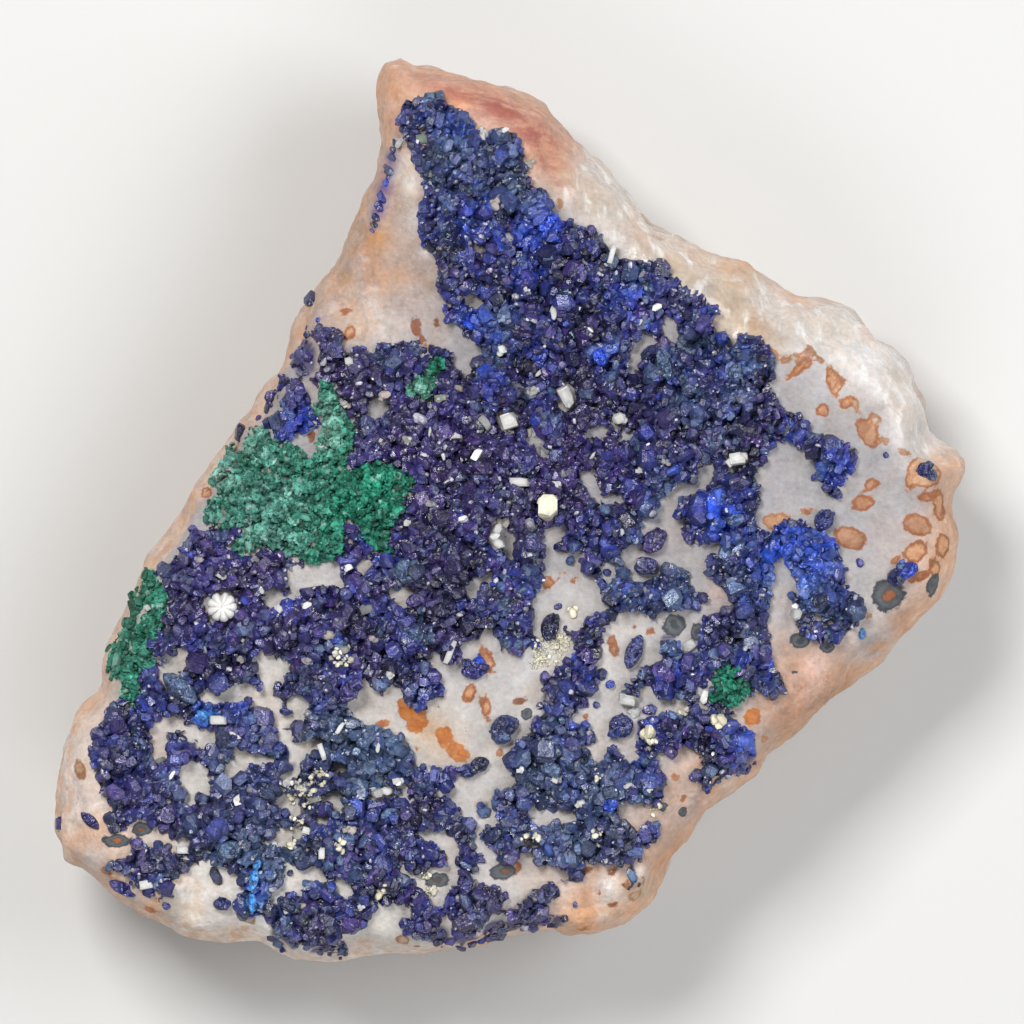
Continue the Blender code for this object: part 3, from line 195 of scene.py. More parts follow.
# Dark altered spots, ringed: (x, y, width, height, warmth of the middle).
DARK_SPOTS = [
    (889, 595, 33, 34, 0.9), (937, 588, 20, 28, 0.5), (674, 625, 24, 23, 0.0),
    (698, 632, 15, 18, 0.0), (800, 641, 20, 17, 0.0), (828, 647, 16, 14, 0.0),
    (527, 714, 13, 12, 0.0), (503, 872, 28, 18, 0.6), (437, 880, 26, 15, 0.2),
    (600, 675, 10, 9, 0.0), (663, 807, 12, 10, 0.2), (683, 812, 10, 10, 0.1),
    (116, 841, 30, 14, 1.0), (142, 829, 22, 15, 0.9), (795, 673, 7, 6, 0.2),
    (459, 727, 3, 3, 0.0), (465, 731, 3, 3, 0.0), (233, 846, 22, 20, 0.0),
]
# Crystals that stand for the azurite solids lying apart: (solid, x, y, length, width, turn).
APART_CRYSTALS = [
    ("azurite_right_side", 824, 520, 23, 17, 62), ("azurite_nub", 925, 470, 16, 14, 30),
    ("azurite_nub", 932, 475, 12, 10, -40), ("azurite_nub", 929, 465, 9, 8, 10),
    ("azurite_right_border", 897, 577, 20, 16, 15), ("azurite_right_border", 909, 570, 20, 14, 35),
    ("azurite_right_border", 901, 566, 12, 9, 60), ("azurite_bay_upper", 654, 541, 29, 19, 40),
    ("azurite_bay_lower", 646, 566, 24, 16, 14), ("azurite_bay_streaked", 550, 627, 28, 16, 76),
    ("azurite_centre_slim", 634, 652, 35, 15, 68), ("azurite_centre_ring", 621, 726, 25, 22, 20),
    ("azurite_centre_bright", 474, 670, 25, 17, 10), ("azurite_centre_bright", 479, 662, 12, 11, 60),
    ("azurite_centre_bright", 467, 664, 12, 10, -30), ("azurite_centre_plate", 505, 726, 29, 20, 20),
    ("azurite_centre_plate", 501, 737, 20, 13, -10), ("azurite_centre_low", 479, 765, 21, 14, 25),
    ("azurite_centre_low", 468, 771, 20, 13, 8), ("azurite_left_border", 90, 821, 24, 10, -42),
    ("azurite_lower_small", 222, 904, 18, 12, 5), ("azurite_lower_left", 123, 889, 31, 12, -26),
]
# Other broad crystals that stand out in the crust: (x, y, length, width, turn, tone).
BROAD_CRYSTALS = [
    (180, 688, 44, 20, -42, "steel"), (405, 570, 26, 20, 75, "steel"), (417, 635, 14, 9, 80, "steel"),
    (664, 365, 34, 14, -70, "steel"), (382, 790, 14, 12, 0, "bright"), (296, 878, 22, 12, 85, "smoke"),
    (318, 846, 22, 14, 85, "smoke"), (288, 905, 26, 14, -30, "smoke"), (230, 850, 26, 18, 20, "steel"),
    (600, 358, 18, 13, -60, "bright"), (233, 775, 18, 16, 10, "steel"), (270, 770, 16, 15, 0, "deep"),
    (415, 600, 20, 13, 20, "violet"), (365, 560, 28, 20, 30, "deep"), (340, 645, 16, 12, 0, "steel"),
    (230, 735, 26, 18, -20, "violet"), (205, 775, 30, 22, -35, "violet"), (350, 690, 30, 18, 50, "violet"),
    (690, 580, 26, 18, 30, "steel"), (735, 372, 18, 14, 60, "steel"), (672, 380, 12, 8, 20, "bright"),
    (820, 600, 17, 13, 40, "smoke"), (560, 745, 22, 16, 30, "royal"), (540, 728, 20, 14, -20, "royal"),
    (735, 520, 20, 12, 10, "steel"), (470, 820, 24, 16, 60, "deep"), (455, 855, 22, 16, -30, "deep"),
    (465, 883, 26, 15, 85, "deep"), (390, 815, 22, 14, 20, "steel"), (610, 805, 18, 13, 30, "bright"),
    (520, 812, 20, 16, 60, "smoke"), (600, 920, 10, 8, 0, "deep"), (545, 895, 18, 15, 30, "deep"),
    (254, 880, 26, 9, 80, "cyan"), (252, 903, 20, 8, 88, "cyan"), (257, 864, 12, 8, 70, "cyan"),
    (203, 716, 16, 8, -40, "cyan"), (545, 226, 16, 12, 30, "bright"), (556, 240, 14, 10, -40, "bright"),
]
# Small azurite crystals beyond the solids: (x, y, length, width, turn).
SPECKS = [
    (392, 156, 18, 7, 70), (381, 196, 22, 6, 80), (376, 217, 10, 6, 60), (310, 298, 22, 11, 60),
    (306, 327, 6, 5, 0), (318, 320, 6, 4, 30), (860, 563, 10, 6, 10), (792, 595, 9, 7, 50),
    (558, 607, 11, 7, 40), (610, 684, 10, 7, -30), (647, 710, 10, 7, 10),
    (290, 873, 7, 5, 30), (58, 825, 6, 12, 80), (228, 491, 12, 8, 10), (240, 433, 20, 10, 30),
    (250, 518, 5, 4, 0), (216, 876, 20, 9, -42), (570, 560, 10, 7, 20), (607, 572, 9, 6, -20),
    (596, 705, 8, 6, 15), (540, 706, 8, 6, 60), (712, 690, 8, 6, 0), (886, 455, 7, 5, 0),
    (148, 893, 14, 9, 20), (166, 906, 9, 6, -10), (575, 905, 8, 5, 30), (640, 860, 7, 5, 0),
    (862, 634, 12, 6, 30), (857, 624, 6, 4, 0), (632, 876, 16, 8, 70), (385, 165, 9, 5, 85),
    (396, 142, 10, 6, 60), (372, 230, 8, 4, 70), (268, 408, 16, 8, 50), (258, 418, 9, 6, 40),
    (484, 812, 16, 9, 85), (481, 806, 9, 7, 20), (650, 711, 13, 9, 20), (287, 768, 13, 9, 10),
    (389, 170, 15, 7, 75), (386, 182, 12, 7, 70), (379, 206, 13, 7, 75), (374, 224, 11, 6, 65),
    (393, 149, 9, 6, 80), (388, 176, 8, 5, 30),
]
# Patches of lighter azurite: (tone, x, y, radius, strength).
BLUE_PATCHES = [
    ("bright", 600, 358, 10, 0.95), ("bright", 548, 222, 14, 0.8), ("bright", 525, 238, 16, 0.6),
    ("bright", 715, 520, 18, 0.9), ("bright", 765, 560, 20, 0.7), ("bright", 480, 664, 9, 0.9),
    ("bright", 747, 745, 14, 0.8), ("bright", 815, 555, 22, 0.7), ("bright", 780, 545, 14, 0.5),
    ("bright", 430, 690, 12, 0.5), ("bright", 200, 712, 12, 0.9), ("bright", 240, 712, 12, 0.6),
    ("bright", 835, 470, 16, 0.6), ("bright", 255, 890, 9, 1.0), ("bright", 252, 870, 7, 0.9),
    ("cyan", 254, 905, 8, 1.0), ("cyan", 202, 716, 7, 0.8), ("cyan", 380, 784, 6, 0.8),
    ("cyan", 862, 634, 6, 0.9), ("bright", 715, 505, 12, 0.7), ("bright", 690, 640, 14, 0.5),
    ("steel", 268, 866, 24, 0.9), ("steel", 350, 735, 34, 0.8), ("steel", 390, 750, 30, 0.7),
    ("steel", 370, 770, 24, 0.7), ("steel", 222, 760, 14, 0.7), ("steel", 664, 365, 12, 0.8),
    ("steel", 470, 150, 60, 0.35), ("steel", 540, 770, 50, 0.35), ("steel", 640, 590, 40, 0.4),
    ("steel", 405, 570, 12, 0.8), ("steel", 417, 634, 9, 0.8), ("steel", 632, 875, 10, 0.9),
    ("steel", 230, 848, 14, 0.8), ("violet", 280, 600, 90, 0.35), ("violet", 210, 580, 60, 0.35),
    ("violet", 470, 480, 70, 0.3), ("violet", 320, 370, 50, 0.5), ("violet", 500, 920, 60, 0.4),
    ("steel", 497, 318, 15, 0.7), ("steel", 494, 355, 13, 0.7), ("steel", 679, 407, 15, 0.7),
    ("steel", 694, 344, 17, 0.7), ("steel", 733, 358, 15, 0.7), ("steel", 734, 396, 17, 0.7),
    ("steel", 660, 483, 18, 0.6), ("steel", 445, 150, 26, 0.5), ("steel", 520, 205, 18, 0.5),
    ("steel", 700, 420, 20, 0.4), ("steel", 800, 590, 18, 0.6), ("steel", 690, 580, 22, 0.6),
    ("steel", 745, 700, 22, 0.4), ("steel", 600, 790, 40, 0.4), ("steel", 560, 840, 40, 0.4),
    ("bright", 535, 272, 12, 0.5), ("bright", 450, 130, 14, 0.5), ("bright", 466, 222, 16, 0.6),
    ("violet", 440, 440, 50, 0.35), ("smoke", 455, 455, 40, 0.4), ("smoke", 520, 500, 36, 0.4),
    ("violet", 190, 800, 50, 0.4), ("bright", 350, 680, 10, 0.4), ("bright", 470, 320, 16, 0.7),
    ("bright", 495, 345, 10, 0.5), ("bright", 620, 300, 20, 0.4), ("bright", 720, 370, 20, 0.35),
    ("violet", 600, 430, 60, 0.3), ("violet", 400, 420, 60, 0.3), ("violet", 560, 480, 50, 0.25),
    ("bright", 800, 580, 40, 0.35), ("smoke", 560, 320, 60, 0.25), ("smoke", 660, 360, 60, 0.2),
    ("bright", 298, 424, 16, 0.7), ("steel", 260, 800, 110, 0.30), ("steel", 560, 830, 90, 0.15), ("steel", 790, 590, 50, 0.6),
    ("bright", 790, 565, 30, 0.35), ("violet", 380, 470, 70, 0.3), ("smoke", 360, 400, 60, 0.3),
]
# White crystals beyond the solids: (x, y, length, width, turn).
WHITE_CRYSTALS = [
    (554, 313, 16, 8, -80), (612, 254, 18, 6, 75), (540, 372, 14, 5, 40), (502, 352, 10, 9, 0),
    (477, 455, 12, 8, 60), (557, 483, 8, 7, 0), (640, 469, 9, 7, 20), (351, 361, 9, 8, 0),
    (277, 609, 9, 7, 0), (307, 605, 12, 8, 30), (407, 523, 11, 9, 0), (147, 607, 8, 7, 0),
    (222, 577, 8, 8, 0), (348, 568, 8, 7, 0), (450, 652, 22, 7, 70), (622, 533, 12, 9, 20),
    (322, 752, 15, 6, -70), (173, 695, 12, 5, 70), (172, 775, 12, 5, 60), (235, 735, 16, 5, -30),
    (218, 720, 15, 10, 0), (183, 850, 12, 8, 0), (238, 800, 11, 10, 0), (285, 785, 14, 12, 20),
    (370, 790, 16, 10, 20), (398, 783, 14, 10, -20), (288, 903, 9, 5, 0), (288, 911, 8, 5, 20),
    (322, 853, 10, 7, 90), (308, 832, 9, 8, 0), (362, 908, 7, 6, 0), (371, 905, 7, 5, 0),
    (554, 779, 8, 6, 0), (628, 785, 8, 5, 30), (650, 790, 7, 5, 0), (580, 803, 9, 7, 0),
    (483, 768, 9, 6, 10), (520, 770, 8, 6, 0), (704, 697, 17, 11, 80), (505, 130, 9, 6, 30),
    (640, 322, 8, 5, 60), (590, 330, 9, 4, -40), (527, 290, 7, 5, 0), (601, 275, 7, 5, 20),
    (424, 455, 8, 5, 0), (380, 440, 7, 5, 30), (260, 590, 8, 6, 0), (243, 640, 7, 5, 0),
    (688, 647, 13, 11, 20), (484, 132, 11, 15, 0), (399, 143, 9, 16, 10), (632, 712, 12, 9, 30),
    (657, 307, 13, 9, 30), (520, 482, 18, 10, 0), (430, 432, 12, 4, 85), (592, 457, 14, 4, 60),
    (443, 455, 10, 4, -70), (340, 728, 12, 5, 60), (391, 675, 9, 7, 60), (378, 748, 12, 5, 80),
]
# Duller grey and tan bits of rock among the crystals: (x, y, length, width, turn).
GREY_BITS = [
    (457, 388, 9, 7, 0), (440, 397, 14, 9, 20), (420, 402, 16, 10, -20), (408, 440, 12, 7, 20),
    (452, 437, 16, 6, 0), (483, 424, 16, 9, -25), (531, 391, 11, 8, 0), (533, 433, 14, 7, 80),
    (541, 451, 17, 8, -80), (507, 433, 12, 5, 0), (516, 483, 17, 8, -10), (496, 519, 13, 10, 0),
    (507, 520, 13, 9, 30), (668, 462, 8, 6, 0), (423, 136, 14, 11, 30), (494, 204, 8, 11, 0),
    (431, 175, 9, 6, 0), (531, 163, 9, 7, 0), (481, 249, 17, 9, 30), (560, 345, 9, 7, 0),
    (430, 505, 10, 7, 0), (385, 395, 12, 8, 20), (345, 405, 9, 6, 0), (365, 610, 13, 9, 10),
    (255, 560, 10, 7, 0), (200, 560, 9, 6, 0), (310, 660, 12, 8, -20), (375, 640, 9, 7, 0),
    (240, 660, 9, 6, 30), (160, 760, 8, 6, 0), (331, 637, 13, 9, 20), (341, 652, 10, 8, 0), (315, 800, 14, 9, 0), (350, 830, 11, 8, 30),
]
# Where bare rock shows through the crust: (x, y, length, width, turn).
WINDOWS = [
    (475, 302, 18, 8, -25), (469, 346, 22, 12, -40), (376, 409, 26, 14, 35), (348, 346, 12, 8, -20),
    (309, 389, 26, 8, -60), (668, 325, 16, 9, 85), (671, 335, 14, 8, -50), (634, 360, 24, 6, 75),
    (720, 323, 18, 9, 80), (732, 337, 14, 9, 60), (621, 420, 34, 17, 90), (603, 431, 34, 9, 12),
    (622, 434, 16, 12, 0), (531, 436, 14, 6, 80), (541, 447, 20, 8, -60), (588, 480, 16, 8, -70),
    (594, 492, 16, 7, -55), (612, 499, 18, 7, 0), (705, 471, 22, 10, 85), (697, 487, 20, 8, 15),
    (682, 489, 10, 7, 40), (669, 505, 22, 12, 60), (664, 512, 12, 10, 0), (294, 579, 18, 12, 70),
    (274, 598, 20, 14, -40), (166, 662, 18, 14, -20), (170, 680, 20, 16, -15), (207, 697, 12, 8, -30),
    (238, 693, 36, 12, 12), (257, 706, 12, 10, 0), (275, 706, 18, 8, -70), (280, 670, 22, 12, 80),
    (266, 656, 12, 8, 0), (299, 706, 20, 14, -40), (290, 721, 32, 7, 15), (283, 738, 14, 12, 0),
    (313, 745, 11, 9, 0), (159, 742, 44, 13, 88), (170, 722, 28, 8, 5), (190, 736, 10, 8, -30),
    (204, 744, 12, 9, 0), (212, 737, 13, 8, -70), (190, 769, 22, 10, 15), (203, 780, 26, 8, -75),
    (241, 757, 18, 9, -80), (238, 767, 28, 12, 35), (257, 759, 24, 8, -5), (365, 568, 13, 10, 80),
    (405, 597, 18, 12, -60), (474, 588, 20, 9, 75), (485, 581, 13, 10, 0), (510, 546, 26, 10, 80),
    (366, 691, 22, 14, 0), (391, 693, 14, 8, 40), (489, 636, 12, 8, -45),
    (507, 655, 14, 6, -20), (436, 703, 14, 7, 25), (608, 572, 10, 12, 0), (698, 579, 18, 10, -80),
    (589, 582, 14, 7, -35), (597, 606, 24, 9, 5), (585, 611, 14, 7, 45), (619, 621, 24, 8, 45),
    (565, 639, 18, 7, -40), (601, 665, 10, 6, 80), (634, 667, 22, 8, 60), (632, 688, 16, 11, 10),
    (664, 700, 13, 8, 0), (585, 715, 10, 8, 0), (523, 729, 18, 7, 60), (590, 748, 9, 8, 0),
    (599, 755, 12, 8, 40), (660, 759, 9, 6, 80), (684, 753, 16, 8, 0), (694, 761, 16, 8, -50),
    (695, 789, 12, 8, -30), (505, 783, 18, 8, 35), (703, 699, 18, 8, -70), (729, 708, 20, 6, 8),
    (181, 845, 18, 8, 20), (133, 883, 22, 14, 0), (150, 894, 16, 9, -10), (167, 904, 14, 9, 35),
    (178, 884, 22, 7, 65), (305, 873, 32, 12, -10), (277, 897, 14, 8, 40), (288, 802, 18, 12, 0),
    (296, 812, 10, 10, 0), (332, 797, 18, 8, 10), (337, 805, 14, 8, -60), (299, 831, 16, 10, 40),
    (338, 767, 15, 7, 0), (397, 792, 17, 16, 0), (432, 836, 26, 7, -10), (449, 843, 26, 10, -55),
    (344, 889, 20, 10, -60), (404, 912, 12, 9, -60), (458, 882, 11, 6, 85), (480, 872, 14, 7, 50),
    (436, 899, 14, 7, -55), (373, 922, 13, 7, 70), (350, 949, 14, 9, -70), (540, 812, 22, 12, 0),
    (562, 816, 26, 9, -5), (530, 844, 14, 6, 20), (527, 857, 11, 8, 0), (510, 906, 13, 8, 15),
    (538, 882, 12, 10, 0), (553, 873, 30, 8, -20), (630, 808, 26, 9, 0), (624, 814, 10, 8, 0),
    (650, 811, 12, 8, 80), (592, 868, 16, 8, 0), (610, 870, 20, 10, 0), (627, 875, 12, 20, 0),
    (641, 868, 36, 10, 75), (553, 906, 11, 9, 0), (322, 820, 10, 7, 0),
]
WINDOW_EASE = 3.5                # how far the mass keeps back from a window's edge, in grid steps
# Where crystals run on past the solids: (x, y, length, width, turn).
AZURITE_MORE = [
    (304, 358, 40, 26, 90), (546, 706, 24, 12, 90), (668, 638, 22, 8, 10), (650, 711, 14, 12, 0),
    (287, 768, 14, 12, 0), (282, 941, 32, 22, -45), (322, 951, 28, 9, 0), (438, 936, 28, 16, 10),
    (462, 944, 50, 16, 5), (496, 932, 30, 26, 30), (526, 926, 44, 16, 0), (557, 923, 14, 16, 0),
    (746, 763, 34, 16, 50), (641, 728, 24, 8, 90), (484, 810, 16, 11, 90),
]
MALACHITE_MORE = [(140, 592, 56, 20, 68), (118, 655, 46, 24, 80), (128, 628, 30, 16, 60)]
# Bluish-mint patches of the malachite: (x, y, radius).
MINT_PATCHES = [(322, 402, 12), (328, 440, 16), (330, 420, 10), (248, 448, 8), (224, 474, 12), (418, 390, 12)]
# Where small pale glints are thickest on the crust: (x, y, radius, share).
GLINT_AREAS = [
    (440, 450, 60, 0.9), (500, 500, 50, 0.8), (610, 300, 60, 0.5), (260, 600, 70, 0.6),
    (345, 380, 50, 0.5), (640, 430, 60, 0.4), (470, 250, 70, 0.4), (330, 660, 60, 0.4),
    (180, 780, 60, 0.35), (300, 800, 40, 0.5), (560, 800, 60, 0.35), (790, 610, 60, 0.25),
]
# Pale-yellow grains: (x, y, radius of the group, how many, size beside the usual).
YELLOW_GROUPS = [
    (548, 508, 2, 2, 4.4), (545, 503, 4, 3, 2.4), (553, 511, 4, 3, 2.2), (341, 655, 11, 26, 1.0), (300, 795, 16, 30, 1.0),
    (320, 778, 10, 16, 1.0), (296, 822, 8, 14, 1.0), (292, 843, 6, 8, 1.0),
    (340, 845, 7, 10, 1.0), (382, 890, 7, 10, 1.0), (426, 874, 5, 7, 1.0), (430, 890, 5, 7, 1.0),
    (717, 722, 6, 5, 1.9), (648, 733, 5, 5, 1.7), (652, 741, 4, 4, 1.3), (685, 711, 6, 8, 1.0),
    (530, 838, 9, 12, 0.8), (572, 610, 5, 6, 1.2), (598, 775, 5, 6, 1.0), (550, 650, 17, 130, 0.62), (537, 661, 8, 40, 0.6),
    (562, 641, 8, 40, 0.62), (600, 838, 10, 7, 0.9), (656, 808, 10, 8, 0.8),
]
# White crystals that stand for the calcite solids: (solid, x, y, length, width, turn).
SOLID_CRYSTALS = [
    ("calcite_square", 509, 421, 15, 15, 18), ("calcite_upper", 566, 396, 20, 11, -62),
    ("calcite_upper", 568, 403, 9, 7, -40),
    ("calcite_window", 619, 418, 14, 13, 20), ("calcite_window", 624, 421, 8, 8, 0),
    ("calcite_middle", 498, 529, 12, 10, 60), ("calcite_middle", 495, 536, 11, 9, 20),
    ("calcite_middle", 499, 543, 13, 9, -30), ("calcite_right", 737, 459, 15, 12, 10),
    ("calcite_right", 731, 462, 9, 8, 40), ("calcite_right", 743, 456, 8, 7, 0),
    ("calcite_bay", 796, 614, 14, 12, 70), ("calcite_bay", 795, 607, 9, 8, 20),
    ("calcite_centre_lower", 628, 700, 15, 10, -10), ("calcite_centre_lower", 623, 697, 8, 8, 0),
    ("calcite_lower_patch", 378, 793, 13, 11, 15), ("calcite_lower_patch", 386, 791, 12, 9, -20),
    ("calcite_lower_left", 146, 885, 13, 9, 10),
]
ROSETTE = (222, 607, 15)         # middle and radius of the white rosette
ROSETTE_NOTCH = 92               # bearing of the gap in its rim, in degrees
PETALS = 9


def on_face(x, y):
    """A grid point as x and y in metres."""
    return Vector(((x - GRID_CENTRE[0]) * GRID_STEP, (GRID_CENTRE[1] - y) * GRID_STEP))


# --- settings -----------------------------------------------------------------------------
def colour_setting(name, description, default):
    return FloatVectorProperty(name=name, description=description, default=default, size=3,
                               min=0.0, max=1.0, subtype="COLOR")


def length_setting(name, description, default):
    return FloatProperty(name=name, description=description, default=default, min=0.00005,
                         unit="LENGTH", subtype="DISTANCE")


class RockSettings(bpy.types.PropertyGroup):
    cell: length_setting("Cell", "Size of the rock surface's cells", 0.00040)
    mauve: colour_setting("Mauve", "Fresh face of the rock", (0.325, 0.307, 0.316))
    cream: colour_setting("Cream", "Fresh face of the rock, lower part", (0.59, 0.55, 0.505))
    white: colour_setting("White", "Quartz", (0.58, 0.52, 0.475))
    peach: colour_setting("Peach", "Weathered border", (0.58, 0.40, 0.30))
    clay: colour_setting("Clay", "Darker weathered parts", (0.39, 0.225, 0.145))
    fawn: colour_setting("Fawn", "Dull weathered face", (0.375, 0.265, 0.21))
    blush: colour_setting("Blush", "Weathered tip", (0.56, 0.335, 0.235))
    amber: colour_setting("Amber", "Golden patches", (0.43, 0.225, 0.10))
    stone: colour_setting("Stone", "Duller quartz", (0.45, 0.405, 0.355))
    # frost: palest quartz, and painted light where it stands for a highlight or lightens a shaded border
    frost_and_highlight: colour_setting("Frost", "Palest quartz", (0.72, 0.69, 0.67))
    brown: colour_setting("Brown", "Darkest iron stains", (0.185, 0.062, 0.022))
    ink: colour_setting("Ink", "Rock below crystals that run past the crust", (0.030, 0.028, 0.110))
    moss: colour_setting("Moss", "Rock below the outer malachite", (0.020, 0.170, 0.105))
    plum: colour_setting("Plum", "Violet wash beside the tip", (0.11, 0.085, 0.27))
    tan: colour_setting("Tan", "Iron-stained border", (0.56, 0.30, 0.16))
    rose: colour_setting("Rose", "Pinkish patches", (0.62, 0.43, 0.38))
    straw: colour_setting("Straw", "Yellowed quartz and paler middles of stains", (0.47, 0.365, 0.255))
    brick: colour_setting("Brick", "Red streaks along the tip", (0.34, 0.10, 0.075))
    side: colour_setting("Side", "Broken sides and underside", (0.50, 0.38, 0.30))
    rust: colour_setting("Rust", "Rims of the iron stains", (0.275, 0.092, 0.028))
    ochre: colour_setting("Ochre", "Middles of the iron stains", (0.345, 0.180, 0.100))
    orange: colour_setting("Orange", "Vivid iron stains", (0.45, 0.150, 0.020))
    spot: colour_setting("Dark spots", "Altered grey-green spots", (0.034, 0.038, 0.045))


class AzuriteSettings(bpy.types.PropertyGroup):
    cell: length_setting("Cell", "Size of the cells of the mass below the crystals", 0.00025)
    small: length_setting("Small crystals", "Length of the crystals in the upper part", 0.00108)
    lower: length_setting("Lower crystals", "Length of the crystals in the lower part", 0.00118)
    filler: length_setting("Filler", "Length of the smallest crystals between them", 0.00062)
    deep: colour_setting("Deep", "Most of the crystals", (0.027, 0.025, 0.108))
    royal: colour_setting("Royal", "Crystals that light gets into", (0.034, 0.050, 0.300))
    bright: colour_setting("Bright", "Brightest blue patches", (0.020, 0.090, 0.72))
    cyan: colour_setting("Cyan", "Blue-white streaks", (0.06, 0.30, 0.75))
    steel: colour_setting("Steel", "Dull grey-blue plates", (0.080, 0.135, 0.250))
    violet: colour_setting("Violet", "Violet-tinged crystals", (0.066, 0.036, 0.180))
    smoke: colour_setting("Smoke", "Nearly black crystals", (0.016, 0.014, 0.034))
    # glint: pale grains, partly a painted glint of light off crystal faces
    glint: colour_setting("Glint", "Small pale crystals that catch the light", (0.78, 0.75, 0.88))
    seed: IntProperty(name="Seed", description="Arrangement of the crystals", default=7, min=0)


class MalachiteSettings(bpy.types.PropertyGroup):
    cell: length_setting("Cell", "Size of the cells of the mass", 0.00016)
    grain: length_setting("Grain", "Size of the grains", 0.00036)
    deep: colour_setting("Deep", "Darkest grains", (0.012, 0.135, 0.080))
    green: colour_setting("Green", "Most of the grains", (0.030, 0.365, 0.232))
    grey: colour_setting("Grey-green", "Duller grains of the left part", (0.140, 0.425, 0.355))
    mint: colour_setting("Mint", "Palest grains", (0.340, 0.620, 0.530))


class CalciteSettings(bpy.types.PropertyGroup):
    white: colour_setting("White", "White crystals", (0.64, 0.63, 0.61))
    yellow: colour_setting("Yellow", "Pale-yellow grains", (0.82, 0.76, 0.57))
    grain: length_setting("Grain", "Size of the yellow grains", 0.00034)


class StageSettings(bpy.types.PropertyGroup):
    floor: colour_setting("Floor", "Pale floor", (0.62, 0.615, 0.605))
    key_power: FloatProperty(name="Key light", description="Power of the main light", default=4.1,
                             min=0.0, unit="POWER")
    fill_power: FloatProperty(name="Fill light", description="Power of the second light",
                              default=2.1, min=0.0, unit="POWER")
    lens: FloatProperty(name="Lens", description="Focal length in millimetres", default=500.0,
                        min=20.0)


# --- meshes -------------------------------------------------------------------------------
def new_piece(name, bm, material):
    """A mesh object in the scene's main collection."""
    mesh = bpy.data.meshes.new(name)
    bm.to_mesh(mesh)
    bm.free()
    if not mesh.materials:
        mesh.materials.append(material)
    piece = bpy.data.objects.new(name, mesh)
    bpy.context.scene.collection.objects.link(piece)
    return piece


def apply_modifiers(piece):
    """Make what a piece's modifiers show its own mesh."""
    shown = piece.evaluated_get(bpy.context.evaluated_depsgraph_get())
    mesh = bpy.data.meshes.new_from_object(shown)
    old = piece.data
    piece.modifiers.clear()
    piece.data = mesh
    bpy.data.meshes.remove(old)
    mesh.name = piece.name


def merged_copy(node):
    """A bmesh of a CAD node with its loose triangles joined."""
    bm = bmesh.new()
    bm.from_mesh(NODES[node].data)
    bmesh.ops.remove_doubles(bm, verts=bm.verts, dist=0.000001)
    return bm


def tree_of(meshes):
    """One ray-casting tree over several meshes."""
    bm = bmesh.new()
    for mesh in meshes:
        bm.from_mesh(mesh)
    tree = BVHTree.FromBMesh(bm)
    bm.free()
    return tree


def drop_onto(tree, x, y):
    """Where a line dropped at x, y meets a surface: (place, normal), or None beside it."""
    place, normal, _, _ = tree.ray_cast(Vector((x, y, 0.05)), Vector((0.0, 0.0, -1.0)))
    return (place, normal) if place is not None else None


# --- the rock -----------------------------------------------------------------------------
def smooth_step(value, low, high):
    share = np.clip((value - low) / (high - low), 0.0, 1.0)
    return share * share * (3.0 - 2.0 * share)


def roughen_rock(bm):
    """Fine relief: gentle on the face, broken on the sides, sugary on the quartz border."""
    bm.normal_update()
    moves = []
    for vert in bm.verts:
        place = vert.co
        face = max(0.0, vert.normal.z) ** 3
        swell = noise.noise(place * 420.0)
        grain = noise.noise(place * 1500.0)
        break_up = noise.turbulence(place * 230.0, 3, True)
        quartz = quartz_share(place)
        cells = noise.voronoi(place * 900.0)[0]
        sugar = (cells[1] - cells[0]) - 0.35
        depth = face * (0.00008 * swell + 0.00003 * grain)
        depth -= (1.0 - face) * 0.00055 * (break_up - 0.35)
        depth += quartz * (0.00012 * sugar + 0.00045 * (0.6 + noise.noise(place * 320.0)))
        moves.append(vert.normal * depth)
    for vert, move in zip(bm.verts, moves):
        vert.co += move


def embed_crystals(bm):
    """Let the rock well up a little round the crystals that sit in it."""
    crusts = tree_of([NODES[name].data for name in ["azurite_crust"] + CLUSTERS + MALACHITES])
    for vert in bm.verts:
        if vert.co.z < 0.0155 or vert.normal.z < 0.3:
            continue
        nearest, _, _, distance = crusts.find_nearest(vert.co, EMBED_REACH)
        if nearest is not None:
            vert.co.z += EMBED_RISE * (1.0 - distance / EMBED_REACH) ** 1.5


EMBED_REACH = 0.0024
EMBED_RISE = 0.00062
QUARTZ_LINE = [(588, 178), (620, 212), (680, 268), (760, 312), (850, 330), (905, 385), (925, 445)]
QUARTZ_REACH = 0.0034


def quartz_share(place):
    """How much of the rock at a place is quartz, 0 to 1."""
    point = Vector((place.x, place.y))
    nearest = 1.0
    for a, b in zip(QUARTZ_LINE, QUARTZ_LINE[1:]):
        start, end = on_face(*a), on_face(*b)
        run = end - start
        share = max(0.0, min(1.0, (point - start).dot(run) / run.length_squared))
        nearest = min(nearest, (point - start - run * share).length)
    return max(0.0, min(1.0, 1.6 * (1.0 - nearest / QUARTZ_REACH)))


